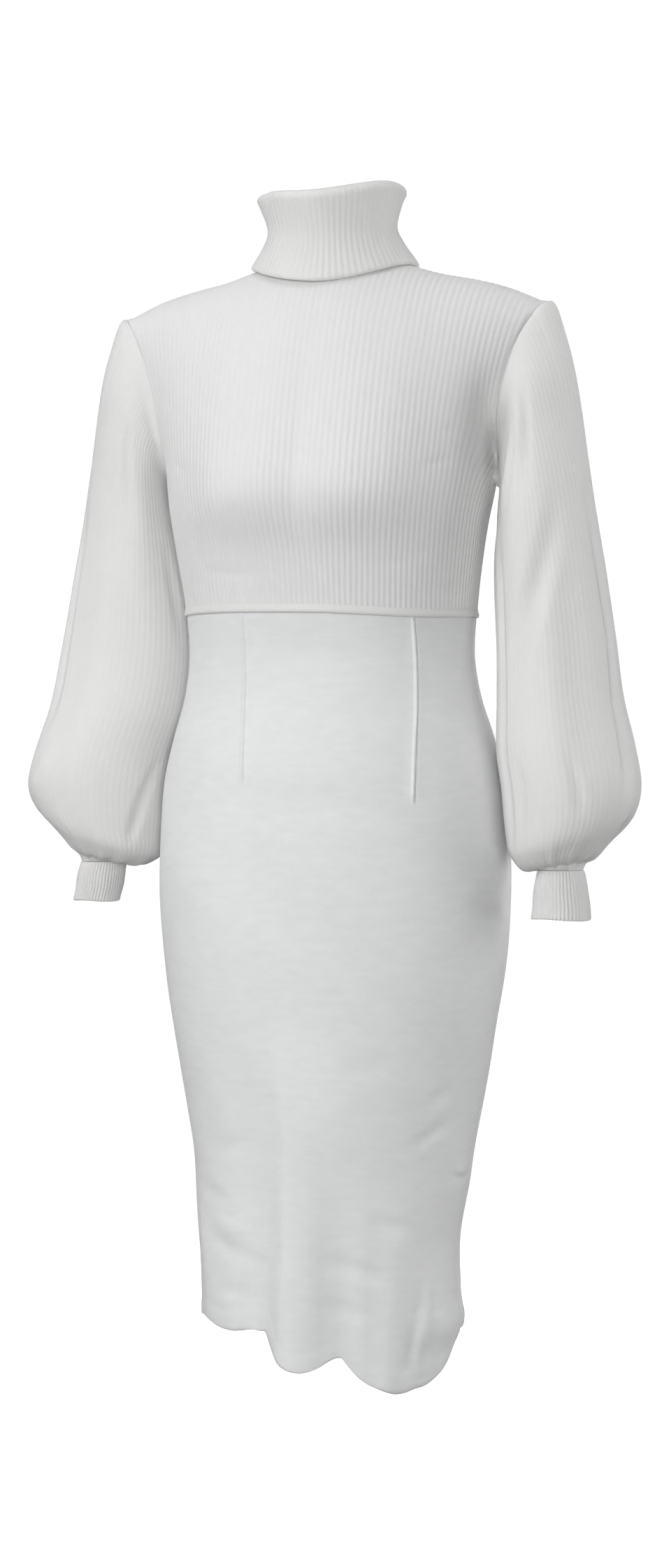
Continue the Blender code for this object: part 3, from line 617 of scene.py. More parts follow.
def yokePoints(reach, side, share):
    # Points a share of the way from the underarm's level to the shoulder seam or the neck.
    name, x = panelNames[side], reach * bodiceLook["shoulderX"] / bodiceLook["shoulderReach"]
    top, bend = (curveAt(yokeTable["reach"], yokeTable[name + end], np.abs(reach))
                 for end in ("Z", "Bend"))
    foot = chestLine(reach, side, bodiceLook["underarmZ"])
    step = 0.002
    rise = (chestLine(reach, side, bodiceLook["underarmZ"] + step) - foot) / step
    end = np.stack([x, neckCut["middleY"] + 0 * x, top], axis=-1)
    before = end.copy()
    before[:, 1] += side * bend
    controls = (foot, foot + rise * bodiceLook["yokeRise"], before, end)
    opening = np.sqrt(np.clip(1 - (x / neckCut["radius"]) ** 2, 0, 1))
    neckY = neckCut["middleY"] + side * neckCut["radius"] * neckCut["aspect"] * opening
    low, cut = 0 * x, 0 * x + 1
    for _ in range(26):
        middle = (low + cut) / 2
        outside = side * (bezierAt(controls, middle)[:, 1] - neckY) > 0
        low, cut = np.where(outside, middle, low), np.where(outside, cut, middle)
    return bezierAt(controls, share - (1 - cut) * share**3)


def neckHeight(angle):
    x = neckCut["radius"] * 0.9999 * np.sin(angle)
    reach = x * bodiceLook["shoulderReach"] / bodiceLook["shoulderX"]
    front, back = (yokePoints(reach, side, 1.0)[:, 2] for side in (-1, 1))
    return np.where(np.cos(angle) > 0, front, back)


def hollowIn(points, share=1.0):
    points = points.copy()
    front = smoothStep(-0.012, 0.020, -points[..., 1])
    for x, height, wide, tall, depth in zip(*hollowTable.values()):
        over, above = (points[..., 0] - x) / wide, (points[..., 2] - height) / tall
        points[..., 1] += share * front * depth * np.exp(-(over**2) - above**2)
    return points


def bodiceGrid(side):
    # Rows up a panel, with each point's reach, and the number of the underarm's row.
    waist = waistHeight(bodiceParts, side) + clothMake["waistGap"] / 2
    full = chestReach(side)
    tall, gap = bodiceLook["underarmZ"] - waist.mean(), bodiceLook["rowGap"]
    lower = np.linspace(0, 1, int(tall / gap) + 1)
    upper = np.linspace(0, 1, int(bodiceLook["yokeLength"] / gap) + 1)[1:]
    rows, reaches = [], []
    for share in lower:
        height = waist + share * (bodiceLook["underarmZ"] - waist)
        rows.append(sectionPoint(height, bodiceParts, side))
        run = runAlong(rows[-1])
        reaches.append((run / run[-1] * 2 - 1) * full)
    for share in upper:
        cutIn = curveAt(armholeTable["share"], armholeTable[panelNames[side]], share)
        reaches.append(bodiceParts * (full - cutIn))
        rows.append(yokePoints(reaches[-1], side, share))
    grid = np.array(rows)
    grid[..., 1] += side * clothMake["seamGap"] / 2
    if side < 0:
        grid = hollowIn(grid)
    return grid, np.array(reaches), len(lower) - 1


def bodiceRibs(marks, rise, height, pitch, side):
    # Uneven ribs, flatter where the yoke is drawn over the shoulders.
    wander = bodiceLook["ribWander"] * waves(3.1 + side, marks * 60, rise * 35)
    strength = 1 + bodiceLook["ribUneven"] * waves(1.7 + side, marks * 25, rise * 18)
    stretched = smoothStep(bodiceLook["stretchFrom"], bodiceLook["stretchFull"], height)
    strength -= bodiceLook["yokeStretch"] * stretched
    return bodiceLook["ribHeight"] * ribShape((marks + wander) / pitch * 2 * math.pi) * strength


def bodiceNormals(grid, side):
    normals = gridNormals(grid, -side)
    for _ in range(6):
        normals[-1, 1:-1] = unit(normals[-1, :-2] + normals[-1, 1:-1] + normals[-1, 2:])
    onShoulder = np.abs(grid[-1, :, 0]) > neckCut["radius"]
    normals[-1, onShoulder] = squared(normals[-1, onShoulder], 1)
    normals[0] = squared(normals[0], 2)
    return normals


def makeBodice(side, name):
    # Makes a panel and returns the points and normals up its two armhole edges.
    grid, reaches, underarm = bodiceGrid(side)
    normals = bodiceNormals(grid, side)
    down = runAlong(grid)
    pitch = 2 * reaches[0, -1] / bodiceLook["ribsPerPanel"]
    step = pitch / bodiceLook["pointsPerRib"]
    wall = clothMake["wall"]
    last = len(grid) - 1

    def clothRow(row, marks):
        base = readRow(grid[row], reaches[row], marks)
        facing = unit(readRow(normals[row], reaches[row], marks))
        rise = np.interp(marks, reaches[row], down[row])
        folds = lineOut(base[:, 0], base[:, 2], bodiceCreases[side])
        return base, facing, rise, folds

    outer, inner = [], []
    for row, place in enumerate(reaches):
        count = int(place[-1] / step - 0.4)
        marks = np.arange(-count, count + 1) * step
        marks = np.concatenate([[place[0]], marks, [place[-1]]])
        base, facing, rise, folds = clothRow(row, marks)
        left = np.interp(marks, place, down[-1] - down[row])
        edge = np.minimum(place[-1] - np.abs(marks), np.minimum(left, rise + 0.002))
        dip = clothMake["seamDip"] * hump(edge, clothMake["seamDipWide"])
        lift = wall / 2 + bodiceRibs(marks, rise, base[:, 2], pitch, side) - dip + folds
        outer.append((marks, base + facing * lift[:, None], paired(marks, rise)))
        if row % 3 == 0 or row < 2 or row > last - 2:
            columns = bodiceLook["ribsPerPanel"] * (2 if row in (0, last) else 1)
            marks = np.linspace(place[0], place[-1], columns + 1)
            base, facing, rise, folds = clothRow(row, marks)
            within = base + facing * (folds - wall / 2)[:, None]
            inner.append((marks, within, paired(marks, rise)))
    clothPiece(name, knitBodice, outer, inner, False)
    return {arm: (grid[underarm:, column], normals[underarm:, column])
            for arm, column in ((1, -1), (-1, 0))}


bodiceEdges = {-1: makeBodice(-1, "bodiceFront"), 1: makeBodice(1, "bodiceBack")}
print("bodice made")

# Skirt: rows from the hem up to the waist.
skirtLook = {
    "rowGap": 0.0030,
    "columnGap": 0.0030,
    "width": 0.41,
    "length": 0.66,
    "acrossReach": 0.165,  # metres that one part across counts as, for creases
    "firstRow": 0.0018,  # a row just above the hem, as a share of the height
    "innerColumns": 81,
    "stepReach": 0.118,  # the same for steps
    "stepTrough": 0.50,
    "dartTop": -0.310,
    "dartLength": 0.160,
    "dartOut": 0.0017,
    "dartWide": 0.0027,
    "dartGroove": 0.0016,
    "grooveAside": 0.0030,
    "grooveWide": 0.0018,
    "dartSwell": 0.0006,
    "swellWide": 0.009,
    "dartColumns": 25,
    "dartReach": 0.034,
    "nearestColumn": 0.0012,
    "hemTurn": 0.011,
    "hemHeight": 0.0135,
    "hemOut": 0.00035,
    "hemGroove": 0.00045,
    "hemGrooveWide": 0.0022,
    "waistDip": 0.0006,
    "waistDipWide": 0.004,
    "swingX": (0.075, 0.112),  # where the edge's swing starts and is full
    "creaseShare": 1.35,
    "ripple": 0.00050,
    "rippleZ": (-0.33, -0.42),  # where the ripple starts and is full
}
hemTables = {
    -1: tableOf("across height", (
        (-1.00, -0.944),
        (-0.80, -0.939),
        (-0.65, -0.937),
        (-0.50, -0.941),
        (-0.36, -0.941),
        (-0.27, -0.939),
        (-0.19, -0.938),
        (-0.15, -0.940),
        (-0.12, -0.955),
        (-0.09, -0.966),
        (-0.05, -0.971),
        (0.00, -0.973),
        (0.06, -0.970),
        (0.12, -0.962),
        (0.17, -0.960),
        (0.21, -0.968),
        (0.29, -0.980),
        (0.36, -0.985),
        (0.44, -0.988),
        (0.58, -0.987),
        (0.75, -0.981),
        (0.87, -0.969),
        (0.94, -0.957),
        (1.00, -0.947),
    )),
    1: tableOf("across height", (
        (-1.00, -0.944),
        (-0.60, -0.950),
        (-0.20, -0.944),
        (0.25, -0.952),
        (0.65, -0.944),
        (1.00, -0.947),
    )),
}
foldTable = tableOf("side acrossTop acrossHem fromHeight halfWidth out", (
    (-1, -0.24, -0.25, -0.690, 0.12, -0.0045),
    (-1, -0.04, -0.03, -0.690, 0.14, 0.0055),
    (-1, 0.13, 0.17, -0.740, 0.14, -0.0045),
    (-1, 0.44, 0.42, -0.800, 0.14, 0.0045),
    (-1, 0.62, 0.68, -0.860, 0.10, -0.0035),
    (-1, 0.78, 0.82, -0.860, 0.10, 0.0030),
    (-1, -0.66, -0.62, -0.780, 0.16, 0.0012),
    (1, -0.55, -0.58, -0.720, 0.16, 0.0050),
    (1, -0.20, -0.22, -0.760, 0.14, -0.0050),
    (1, 0.15, 0.18, -0.700, 0.16, 0.0050),
    (1, 0.55, 0.50, -0.780, 0.14, -0.0045),
))
dartTable = tableOf("side acrossTop acrossEnd strength", (
    (-1, -0.265, -0.205, 0.55),
    (-1, 0.480, 0.400, 1.00),
    (1, -0.480, -0.400, 0.80),
    (1, 0.265, 0.205, 0.80),
))
# Steps, each a line of (across, height) points, up: the cloth on its right stands out by a
# height and falls back over a width. Width, height, width of the fall, and where it starts
# and is full.
skirtSteps = {
    -1: (
        (((-0.125, -0.960), (-0.122, -0.920), (-0.098, -0.874), (-0.098, -0.828),
          (-0.085, -0.782), (-0.09, -0.742), (-0.095, -0.700)), 0.0052, 0.0064, 0.062,
         (-0.650, -0.770)),
        (((-0.63, -0.960), (-0.645, -0.934), (-0.67, -0.887), (-0.70, -0.850), (-0.74, -0.800)),
         0.0045, 0.0022, 0.090, (-0.800, -0.870)),
    ),
    1: (
        (((0.33, -0.960), (0.32, -0.860), (0.30, -0.780)), 0.0060, 0.0030, 0.060,
         (-0.780, -0.880)),
    ),
}
# Where the wearer's left edge swings out or in: height, half height, out.
edgeSwings = ((-0.940, 0.025, 0.0035), (-0.868, 0.060, -0.0042))
skirtCreases = {
    -1: (
        (((0.68, -0.885), (0.635, -0.921), (0.595, -0.945), (0.55, -0.995)), 0.0100, 0.0015),
        (((0.63, -0.885), (0.585, -0.921), (0.545, -0.945), (0.50, -0.995)), 0.0100, -0.0011),
        (((0.78, -0.800), (0.86, -0.8045), (0.98, -0.809)), 0.0035, 0.0018),
        (((0.74, -0.804), (0.86, -0.811), (0.99, -0.817)), 0.0065, -0.0020),
        (((0.74, -0.752), (0.58, -0.768), (0.44, -0.785)), 0.0110, -0.0014),
        (((0.70, -0.724), (0.50, -0.746)), 0.0110, -0.0008),
        (((-0.62, -0.860), (-0.30, -0.877), (-0.12, -0.892)), 0.0120, -0.0011),
        (((-0.60, -0.846), (-0.20, -0.860)), 0.0110, 0.0007),
        (((-0.56, -0.787), (-0.30, -0.780), (-0.12, -0.781)), 0.0150, -0.0008),
        (((-0.56, -0.903), (-0.16, -0.918)), 0.0120, -0.0008),
        (((-0.70, -0.816), (-0.30, -0.834)), 0.0120, -0.0007),
        (((0.01, -0.886), (0.12, -0.879), (0.25, -0.885), (0.45, -0.899)), 0.0120, -0.0012),
        (((0.04, -0.912), (0.35, -0.930)), 0.0120, -0.0009),
        (((0.25, -0.842), (0.56, -0.854)), 0.0130, -0.0009),
        (((0.10, -0.700), (0.40, -0.712)), 0.0160, -0.0007),
        (((-0.60, -0.476), (-0.30, -0.474), (0.10, -0.480), (0.62, -0.474)), 0.0300, -0.0009),
    ),
    1: (
        (((-0.76, -0.792), (-0.30, -0.812), (0.10, -0.816), (0.42, -0.802)), 0.0200, -0.0010),
        (((-0.30, -0.842), (0.20, -0.862), (0.66, -0.858)), 0.0180, -0.0009),
        (((-0.74, -0.866), (-0.40, -0.888), (-0.05, -0.898)), 0.0170, -0.0009),
        (((0.44, -0.784), (0.72, -0.772), (0.92, -0.758)), 0.0150, -0.0010),
        (((-0.45, -0.640), (0.40, -0.646)), 0.0200, -0.0009),
        (((-0.40, -0.900), (-0.36, -0.985)), 0.0090, 0.0022),
    ),
}
skirtParts = np.linspace(-1, 1, 641)


def foldOut(parts, height, hem, side):
    out = 0 * parts
    for panel, acrossTop, acrossHem, fromHeight, halfWidth, depth in zip(*foldTable.values()):
        if panel == side:
            down = np.clip((fromHeight - height) / (fromHeight - hem), 0, 1)
            middle = acrossTop + (acrossHem - acrossTop) * down
            out = out + depth * smoothStep(0, 1, down) * hump(parts - middle, halfWidth)
    return out


def stepOut(parts, height, side):
    out = 0 * parts
    for line, width, rise, fade, (start, full) in skirtSteps[side]:
        line = np.array(line)
        middle = np.interp(height, line[:, 1], line[:, 0])
        gap = (parts - middle) * skirtLook["stepReach"]
        profile = smoothStep(-width, width, gap) * (1 - smoothStep(width, fade, gap))
        profile = profile - skirtLook["stepTrough"] * hump(gap + 2.8 * width, 3.0 * width)
        out = out + rise * profile * smoothStep(-start, -full, -height)
    return out


def skirtNormals(grid, side):
    normals = gridNormals(grid, -side)
    normals[-1] = squared(normals[-1], 2)
    return normals


def skirtGrid(side):
    waist = waistHeight(skirtParts, side) - clothMake["waistGap"] / 2
    hem = curveAt(hemTables[side]["across"], hemTables[side]["height"], skirtParts)
    shares = np.linspace(0, 1, int(skirtLook["length"] / skirtLook["rowGap"]) + 1)
    shares = np.insert(shares, 1, skirtLook["firstRow"])
    grid = []
    for share in shares:
        height = hem + share * (waist - hem)
        points = sectionPoint(height, skirtParts, side)
        out = foldOut(skirtParts, height, hem, side) + stepOut(skirtParts, height, side)
        points[:, 1] += side * out
        swing = sum(out * hump(height - level, tall) for level, tall, out in edgeSwings)
        points[:, 0] += smoothStep(*skirtLook["swingX"], points[:, 0]) * swing
        grid.append(points)
    grid = np.array(grid)
    grid[..., 1] += side * clothMake["seamGap"] / 2
    height, fromSeam = grid[..., 2], 1 - np.abs(skirtParts)
    parts = np.broadcast_to(skirtParts, height.shape)
    folds = lineOut(parts, height, skirtCreases[side], skirtLook["acrossReach"])
    folds *= skirtLook["creaseShare"] * smoothStep(0, 0.06, fromSeam)
    ripple = skirtLook["ripple"] * waves(2.3 + side, skirtParts * 7, height * 26)
    ripple *= smoothStep(0, 0.05, fromSeam) * smoothStep(*skirtLook["rippleZ"], height)
    return grid + skirtNormals(grid, side) * (folds + ripple)[..., None]


def columnKeys(darts):
    # Columns evenly across, and closer beside each dart.
    keys = [np.linspace(-1, 1, int(skirtLook["width"] / skirtLook["columnGap"]) + 1)]
    near = np.linspace(-1, 1, skirtLook["dartColumns"]) * skirtLook["dartReach"]
    keys += [dart + near for dart in darts]
    keys = np.unique(np.round(np.concatenate(keys), 6))
    keys = keys[np.append(True, np.diff(keys) > skirtLook["nearestColumn"])]
    keys[-1] = 1.0
    return keys


def dartOut(gap, strength):
    # A sewn ridge with a groove beside it.
    ridge = skirtLook["dartOut"] * hump(gap, skirtLook["dartWide"])
    groove = skirtLook["dartGroove"] * hump(gap - skirtLook["grooveAside"], skirtLook["grooveWide"])
    swell = skirtLook["dartSwell"] * hump(gap, skirtLook["swellWide"])
    return strength * (ridge - groove + swell)


def hemOut(climb):
    # The turned-up band stands out, with a groove along its stitching.
    top = skirtLook["hemHeight"]
    band = skirtLook["hemOut"] * (1 - smoothStep(skirtLook["hemTurn"], top, climb))
    return band - skirtLook["hemGroove"] * hump(climb - top, skirtLook["hemGrooveWide"])


def makeSkirt(side, name):
    _, tops, ends, strengths = np.array(list(dartTable.values()))[:, dartTable["side"] == side]
    dartTop, dartEnd = skirtLook["dartTop"], skirtLook["dartTop"] - skirtLook["dartLength"]
    topX = sectionPoint(dartTop + 0 * tops, tops, side)[:, 0]
    endX = sectionPoint(dartEnd + 0 * ends, ends, side)[:, 0]
    keys = columnKeys(tops)
    grid = skirtGrid(side)
    normals = skirtNormals(grid, side)
    run = runAlong(grid, 1)
    middleRun = run[len(run) // 2] - run[len(run) // 2, -1] / 2
    climb = runAlong(grid).mean(axis=1)
    wall = clothMake["wall"]
    outer, inner = [], []
    for row, (points, normal) in enumerate(zip(grid, normals)):

        def clothRow(marks):
            base = readRow(points, skirtParts, marks)
            facing = unit(readRow(normal, skirtParts, marks))
            return base, facing, paired(np.interp(marks, skirtParts, middleRun), climb[row])

        height = points[:, 2].mean()
        share = (dartTop - height) / skirtLook["dartLength"]
        lie = partAt(topX + np.clip(share, 0, 1) * (endX - topX), max(height, dartEnd))
        marks = np.interp(keys, [-1, *tops, 1], [-1, *lie, 1])
        base, facing, uvs = clothRow(marks)
        place = np.interp(marks, skirtParts, run[row])
        darts = np.interp(lie, skirtParts, run[row])
        raised = sum(dartOut(place - dart, strength) for dart, strength in zip(darts, strengths))
        raised = raised * smoothStep(0, 0.03, share) * smoothStep(0, 0.06, 1 - share)
        fromSeam = np.minimum(place, run[row, -1] - place)
        dip = clothMake["seamDip"] * hump(fromSeam, clothMake["seamDipWide"])
        waistDip = hump(climb[-1] - climb[row], skirtLook["waistDipWide"])
        dip = np.maximum(dip, skirtLook["waistDip"] * waistDip)
        lift = wall / 2 + raised - dip + hemOut(climb[row])
        outer.append((keys, base + facing * lift[:, None], uvs))
        if row % 3 == 0 or row >= len(grid) - 2:
            marks = np.linspace(-1, 1, skirtLook["innerColumns"])
            base, facing, uvs = clothRow(marks)
            inner.append((marks, base - facing * wall / 2, uvs))
    clothPiece(name, knitSkirt, roundedEdge(outer, inner), inner, False)


makeSkirt(-1, "skirtFront")
makeSkirt(1, "skirtBack")
print("skirt made")

# Sleeves: rings from the armhole down, given by table rows. Side is 1 for the wearer's left.
# A turn runs from 0 at the underarm over the front to 1.
sleeveLook = {
    "ribs": 70,
    "pointsPerRib": 5,
    "ribHeight": 0.00024,
    "ribPitch": 0.005,
    "rowGap": 0.0030,
    "blendRow": 7,  # where the armhole's shape has faded out
    "seamRoll": 0.004,
    "gathers": 24,
    "gatherOut": 0.0020,
    "gatherRows": (15.0, 15.15, 15.95),  # full, starting to fade and gone
    "gatherLength": 1.9,
    "gatherSpread": 1.5,
    "droop": 0.0045,
    "droopRow": 14.4,
    "droopTall": 1.3,
    "ripple": 0.0007,
    "seamDipTall": 0.004,
    "underarmDip": 0.0006,
    "underarmDipWide": 0.0025,
    "underarmPitch": 0.00486,
    "rowReach": 0.08,  # turns that one row counts as, for folds
}
sleeveTable = tableOf("outerX outerZ innerX innerZ middleY halfDepth", (
    (0.1920, -0.0290, 0.1505, -0.1900, -0.001, 0.0520),
    (0.2085, -0.0350, 0.1565, -0.1890, 0.000, 0.0520),
    (0.2150, -0.0520, 0.1590, -0.1905, -0.001, 0.0550),
    (0.2228, -0.0820, 0.1588, -0.1970, -0.003, 0.0565),
    (0.2290, -0.1220, 0.1568, -0.2125, -0.004, 0.0560),
    (0.2360, -0.1700, 0.1542, -0.2335, -0.005, 0.0550),
    (0.2430, -0.2250, 0.1525, -0.2620, -0.006, 0.0545),
    (0.2510, -0.2800, 0.1535, -0.3010, -0.008, 0.0550),
    (0.2590, -0.3350, 0.1555, -0.3450, -0.010, 0.0570),
    (0.2650, -0.3850, 0.1565, -0.3900, -0.013, 0.0590),
    (0.2752, -0.4300, 0.1565, -0.4320, -0.015, 0.0610),
    (0.2805, -0.4620, 0.1615, -0.4670, -0.016, 0.0610),
    (0.2760, -0.4860, 0.1650, -0.5020, -0.017, 0.0570),
    (0.2630, -0.5040, 0.1690, -0.5230, -0.018, 0.0500),
    (0.2475, -0.5165, 0.1785, -0.5305, -0.018, 0.0390),
    (0.2350, -0.5250, 0.1910, -0.5315, -0.018, 0.0265),
    (0.2320, -0.5370, 0.1936, -0.5370, -0.018, 0.0222),
))
# What the right sleeve adds to the left one's sizes, because its arm hangs further forward.
rightSleeve = tableOf("row outerX outerZ innerX innerZ middleY", (
    (0, 0.0000, 0.0000, 0.0000, 0.0000, 0.000),
    (2, -0.0008, 0.0000, 0.0000, 0.0000, 0.000),
    (4, -0.0004, 0.0000, 0.0000, 0.0000, 0.008),
    (5, -0.0012, 0.0000, -0.0020, 0.0000, 0.014),
    (6, -0.0008, 0.0000, -0.0065, 0.0000, 0.018),
    (7, 0.0010, 0.0000, -0.0135, 0.0000, 0.020),
    (8, 0.0025, 0.0000, -0.0175, 0.0000, 0.021),
    (9, 0.0055, 0.0000, -0.0140, 0.0000, 0.020),
    (10, 0.0095, 0.0010, -0.0015, 0.0000, 0.019),
    (11, 0.0095, 0.0030, -0.0005, 0.0000, 0.018),
    (12, 0.0075, 0.0060, -0.0010, -0.0010, 0.018),
    (13, 0.0055, 0.0070, -0.0025, -0.0015, 0.018),
    (14, 0.0055, 0.0070, -0.0010, 0.0010, 0.018),
    (15, 0.0075, 0.0050, 0.0055, 0.0025, 0.018),
    (16, 0.0080, 0.0045, 0.0080, 0.0045, 0.018),
))
# Folds: a line of (turn, row) points, its half width in turns, and how far it stands out.
sleeveFolds = {
    1: (
        (((0.33, 4.0), (0.33, 13.0)), 0.080, -0.0034),
        (((0.19, 3.0), (0.19, 8.0)), 0.075, 0.0026),
        (((0.57, 7.0), (0.57, 13.5)), 0.075, 0.0035),
        (((0.78, 6.0), (0.78, 13.0)), 0.080, -0.0035),
        (((0.295, 2.2), (0.265, 3.6), (0.215, 5.4)), 0.040, -0.0056),
        (((0.215, 2.6), (0.175, 3.9), (0.115, 5.6)), 0.032, 0.0034),
        (((0.36, 5.2), (0.28, 6.4), (0.20, 7.6), (0.12, 9.2)), 0.050, -0.0052),
        (((0.445, 5.2), (0.462, 8.0), (0.446, 10.0), (0.425, 11.8)), 0.032, -0.0062),
        (((0.482, 11.6), (0.490, 12.8), (0.478, 14.4)), 0.030, -0.0050),
        (((0.115, 5.4), (0.105, 9.0), (0.100, 13.0)), 0.028, -0.0030),
        (((0.28, 9.8), (0.31, 12.2)), 0.026, -0.0020),
        (((0.16, 9.8), (0.15, 12.6)), 0.026, -0.0018),
        (((0.62, 8.0), (0.64, 12.2)), 0.026, -0.0026),
        (((0.90, 7.0), (0.86, 12.0)), 0.030, -0.0022),
    ),
    -1: (
        (((0.33, 4.0), (0.33, 13.0)), 0.080, -0.0030),
        (((0.19, 3.0), (0.19, 8.0)), 0.075, 0.0024),
        (((0.57, 7.0), (0.57, 13.5)), 0.075, 0.0035),
        (((0.78, 6.0), (0.78, 13.0)), 0.080, -0.0035),
        (((0.26, 2.8), (0.24, 4.0), (0.20, 5.8)), 0.036, -0.0026),
        (((0.41, 5.2), (0.402, 7.8), (0.395, 10.0)), 0.030, -0.0042),
        (((0.33, 9.6), (0.36, 10.6), (0.40, 11.8)), 0.040, 0.0026),
        (((0.14, 12.9), (0.10, 11.4), (0.05, 9.8)), 0.026, -0.0038),
        (((0.10, 5.4), (0.06, 8.0)), 0.030, -0.0022),
        (((0.28, 10.2), (0.30, 12.6)), 0.026, -0.0018),
        (((0.60, 7.0), (0.63, 12.4)), 0.026, -0.0026),
        (((0.90, 7.0), (0.87, 12.0)), 0.030, -0.0022),
    ),
}


def armholeRing(side):
    # The bodice's edge round one armhole, from the underarm up the front and down the back.
    (front, frontNormal), (back, backNormal) = bodiceEdges[-1][side], bodiceEdges[1][side]
    points = np.concatenate([front, back[::-1][1:]])
    normals = np.concatenate([frontNormal, backNormal[::-1][1:]])
    top = len(front) - 1
    for place in (0, top):
        points[place] = (front[place] + back[place]) / 2
        normals[place] = (frontNormal[place] + backNormal[place]) / 2
    points[-1], normals[-1] = points[0], normals[0]
    normals = unit(normals)
    away = unit(np.cross(ringDirections(points), normals)) * side
    run = runAlong(points)
    turns = np.interp(run, [0, run[top], run[-1]], [0, 0.5, 1])
    return turns, points + away * clothMake["seamGap"], normals, away


def sleeveSizes(side, at):
    rows = np.arange(len(sleeveTable["outerX"]), dtype=float)
    sizes = {name: curveAt(rows, column, at) for name, column in sleeveTable.items()}
    if side < 0:
        for name in ("outerX", "outerZ", "innerX", "innerZ", "middleY"):
            sizes[name] = sizes[name] + curveAt(rightSleeve["row"], rightSleeve[name], at)
    return sizes


def sleeveRings(side, at, turn):
    sizes = {name: value[:, None] for name, value in sleeveSizes(side, at).items()}
    angle = turn[None, :] * 2 * math.pi
    x, z = [
        (sizes["outer" + axis] + sizes["inner" + axis]) / 2
        - (sizes["outer" + axis] - sizes["inner" + axis]) / 2 * np.cos(angle)
        for axis in ("X", "Z")
    ]
    y = sizes["middleY"] - sizes["halfDepth"] * np.sin(angle)
    return np.stack([x * side, y, z], axis=-1)


def gatherOut(turn, at, side):
    # Uneven gathers that run up from the cuff.
    out = 0
    count = sleeveLook["gathers"]
    full, fade, end = sleeveLook["gatherRows"]
    for k in range(count):
        middle = (k + 0.28 * math.sin(k * 2.9 + side)) / count
        length = sleeveLook["gatherSpread"] * (0.5 + 0.5 * math.sin(k * 4.1 + 1.3 * side))
        length = sleeveLook["gatherLength"] + length
        high = sleeveLook["gatherOut"] * (0.55 + 0.45 * math.sin(k * 1.7 + 0.8 * side) ** 2)
        gap = (turn - middle + 0.5) % 1 - 0.5
        along = smoothStep(full - length, full, at) * (1 - smoothStep(fade, end, at))
        out = out + high * along * hump(gap, 0.62 / count)
    return out


def sleeveRowPlaces(side):
    # Where the rows of points lie in the table's rows, evenly spaced down the longest line.
    fine = np.linspace(1, len(sleeveTable["outerX"]) - 1, 400)
    lines = sleeveRings(side, fine, np.array([0.25, 0.5, 0.75]))
    run = np.insert(np.diff(runAlong(lines), axis=0).max(axis=1).cumsum(), 0, 0)
    count = int(run[-1] / sleeveLook["rowGap"])
    even = np.interp(np.linspace(0, run[-1], count + 1), run, fine)
    return np.concatenate([[0, 0.2, 0.45, 0.7], even])


def sleeveGrid(side, at, turn, armhole):
    # Rings that start at the armhole's own edge and blend into the table's ellipses.
    turns, seam, seamNormal, away = armhole
    roll = sleeveLook["seamRoll"]
    proud = smoothStep(0, 0.6, np.abs(2 * turns - 1))[:, None]
    start = readRow(seam + roll * (away + seamNormal * proud), turns, turn)
    firstRing = sleeveRings(side, np.array([1.0]), turn)[0]
    rest = (1 - smoothStep(1, sleeveLook["blendRow"], at))[:, None, None]
    grid = sleeveRings(side, at, turn) + rest * (start - firstRing)
    grid = hollowIn(grid, 1 - rest[..., 0])
    droopShare = hump(at - sleeveLook["droopRow"], sleeveLook["droopTall"])
    grid[..., 2] -= (sleeveLook["droop"] * droopShare)[:, None]
    for row, share in enumerate(at[:4]):
        rolled = away * share + seamNormal * proud * share * share
        grid[row] = readRow(seam + roll * rolled, turns, turn)
    for _ in range(8):  # smooths the rows below the seam
        grid[3:12] = grid[3:12] * 0.5 + (grid[2:11] + grid[4:13]) * 0.25
    return grid


def sleeveNormals(grid, turn, armhole):
    turns, _, seamNormal, _ = armhole
    normals = tubeNormals(grid, len(grid) // 2)
    normals[0] = unit(readRow(seamNormal, turns, turn))
    normals[-1] = squared(normals[-1], 2)
    return normals


def sleeveFoldOut(side, at, turn):
    turn, at = np.broadcast_arrays(turn[None, :], at[:, None])
    folds = lineOut(turn, at, sleeveFolds[side], 1.0, sleeveLook["rowReach"])
    folds = folds * smoothStep(0.6, 2.5, at)
    ripple = sleeveLook["ripple"] * waves(0.9 + side, np.sin(turn * 2 * math.pi) * 2.2, at * 0.9)
    return folds + ripple * smoothStep(1.5, 4, at) * (1 - smoothStep(14, 15.6, at))


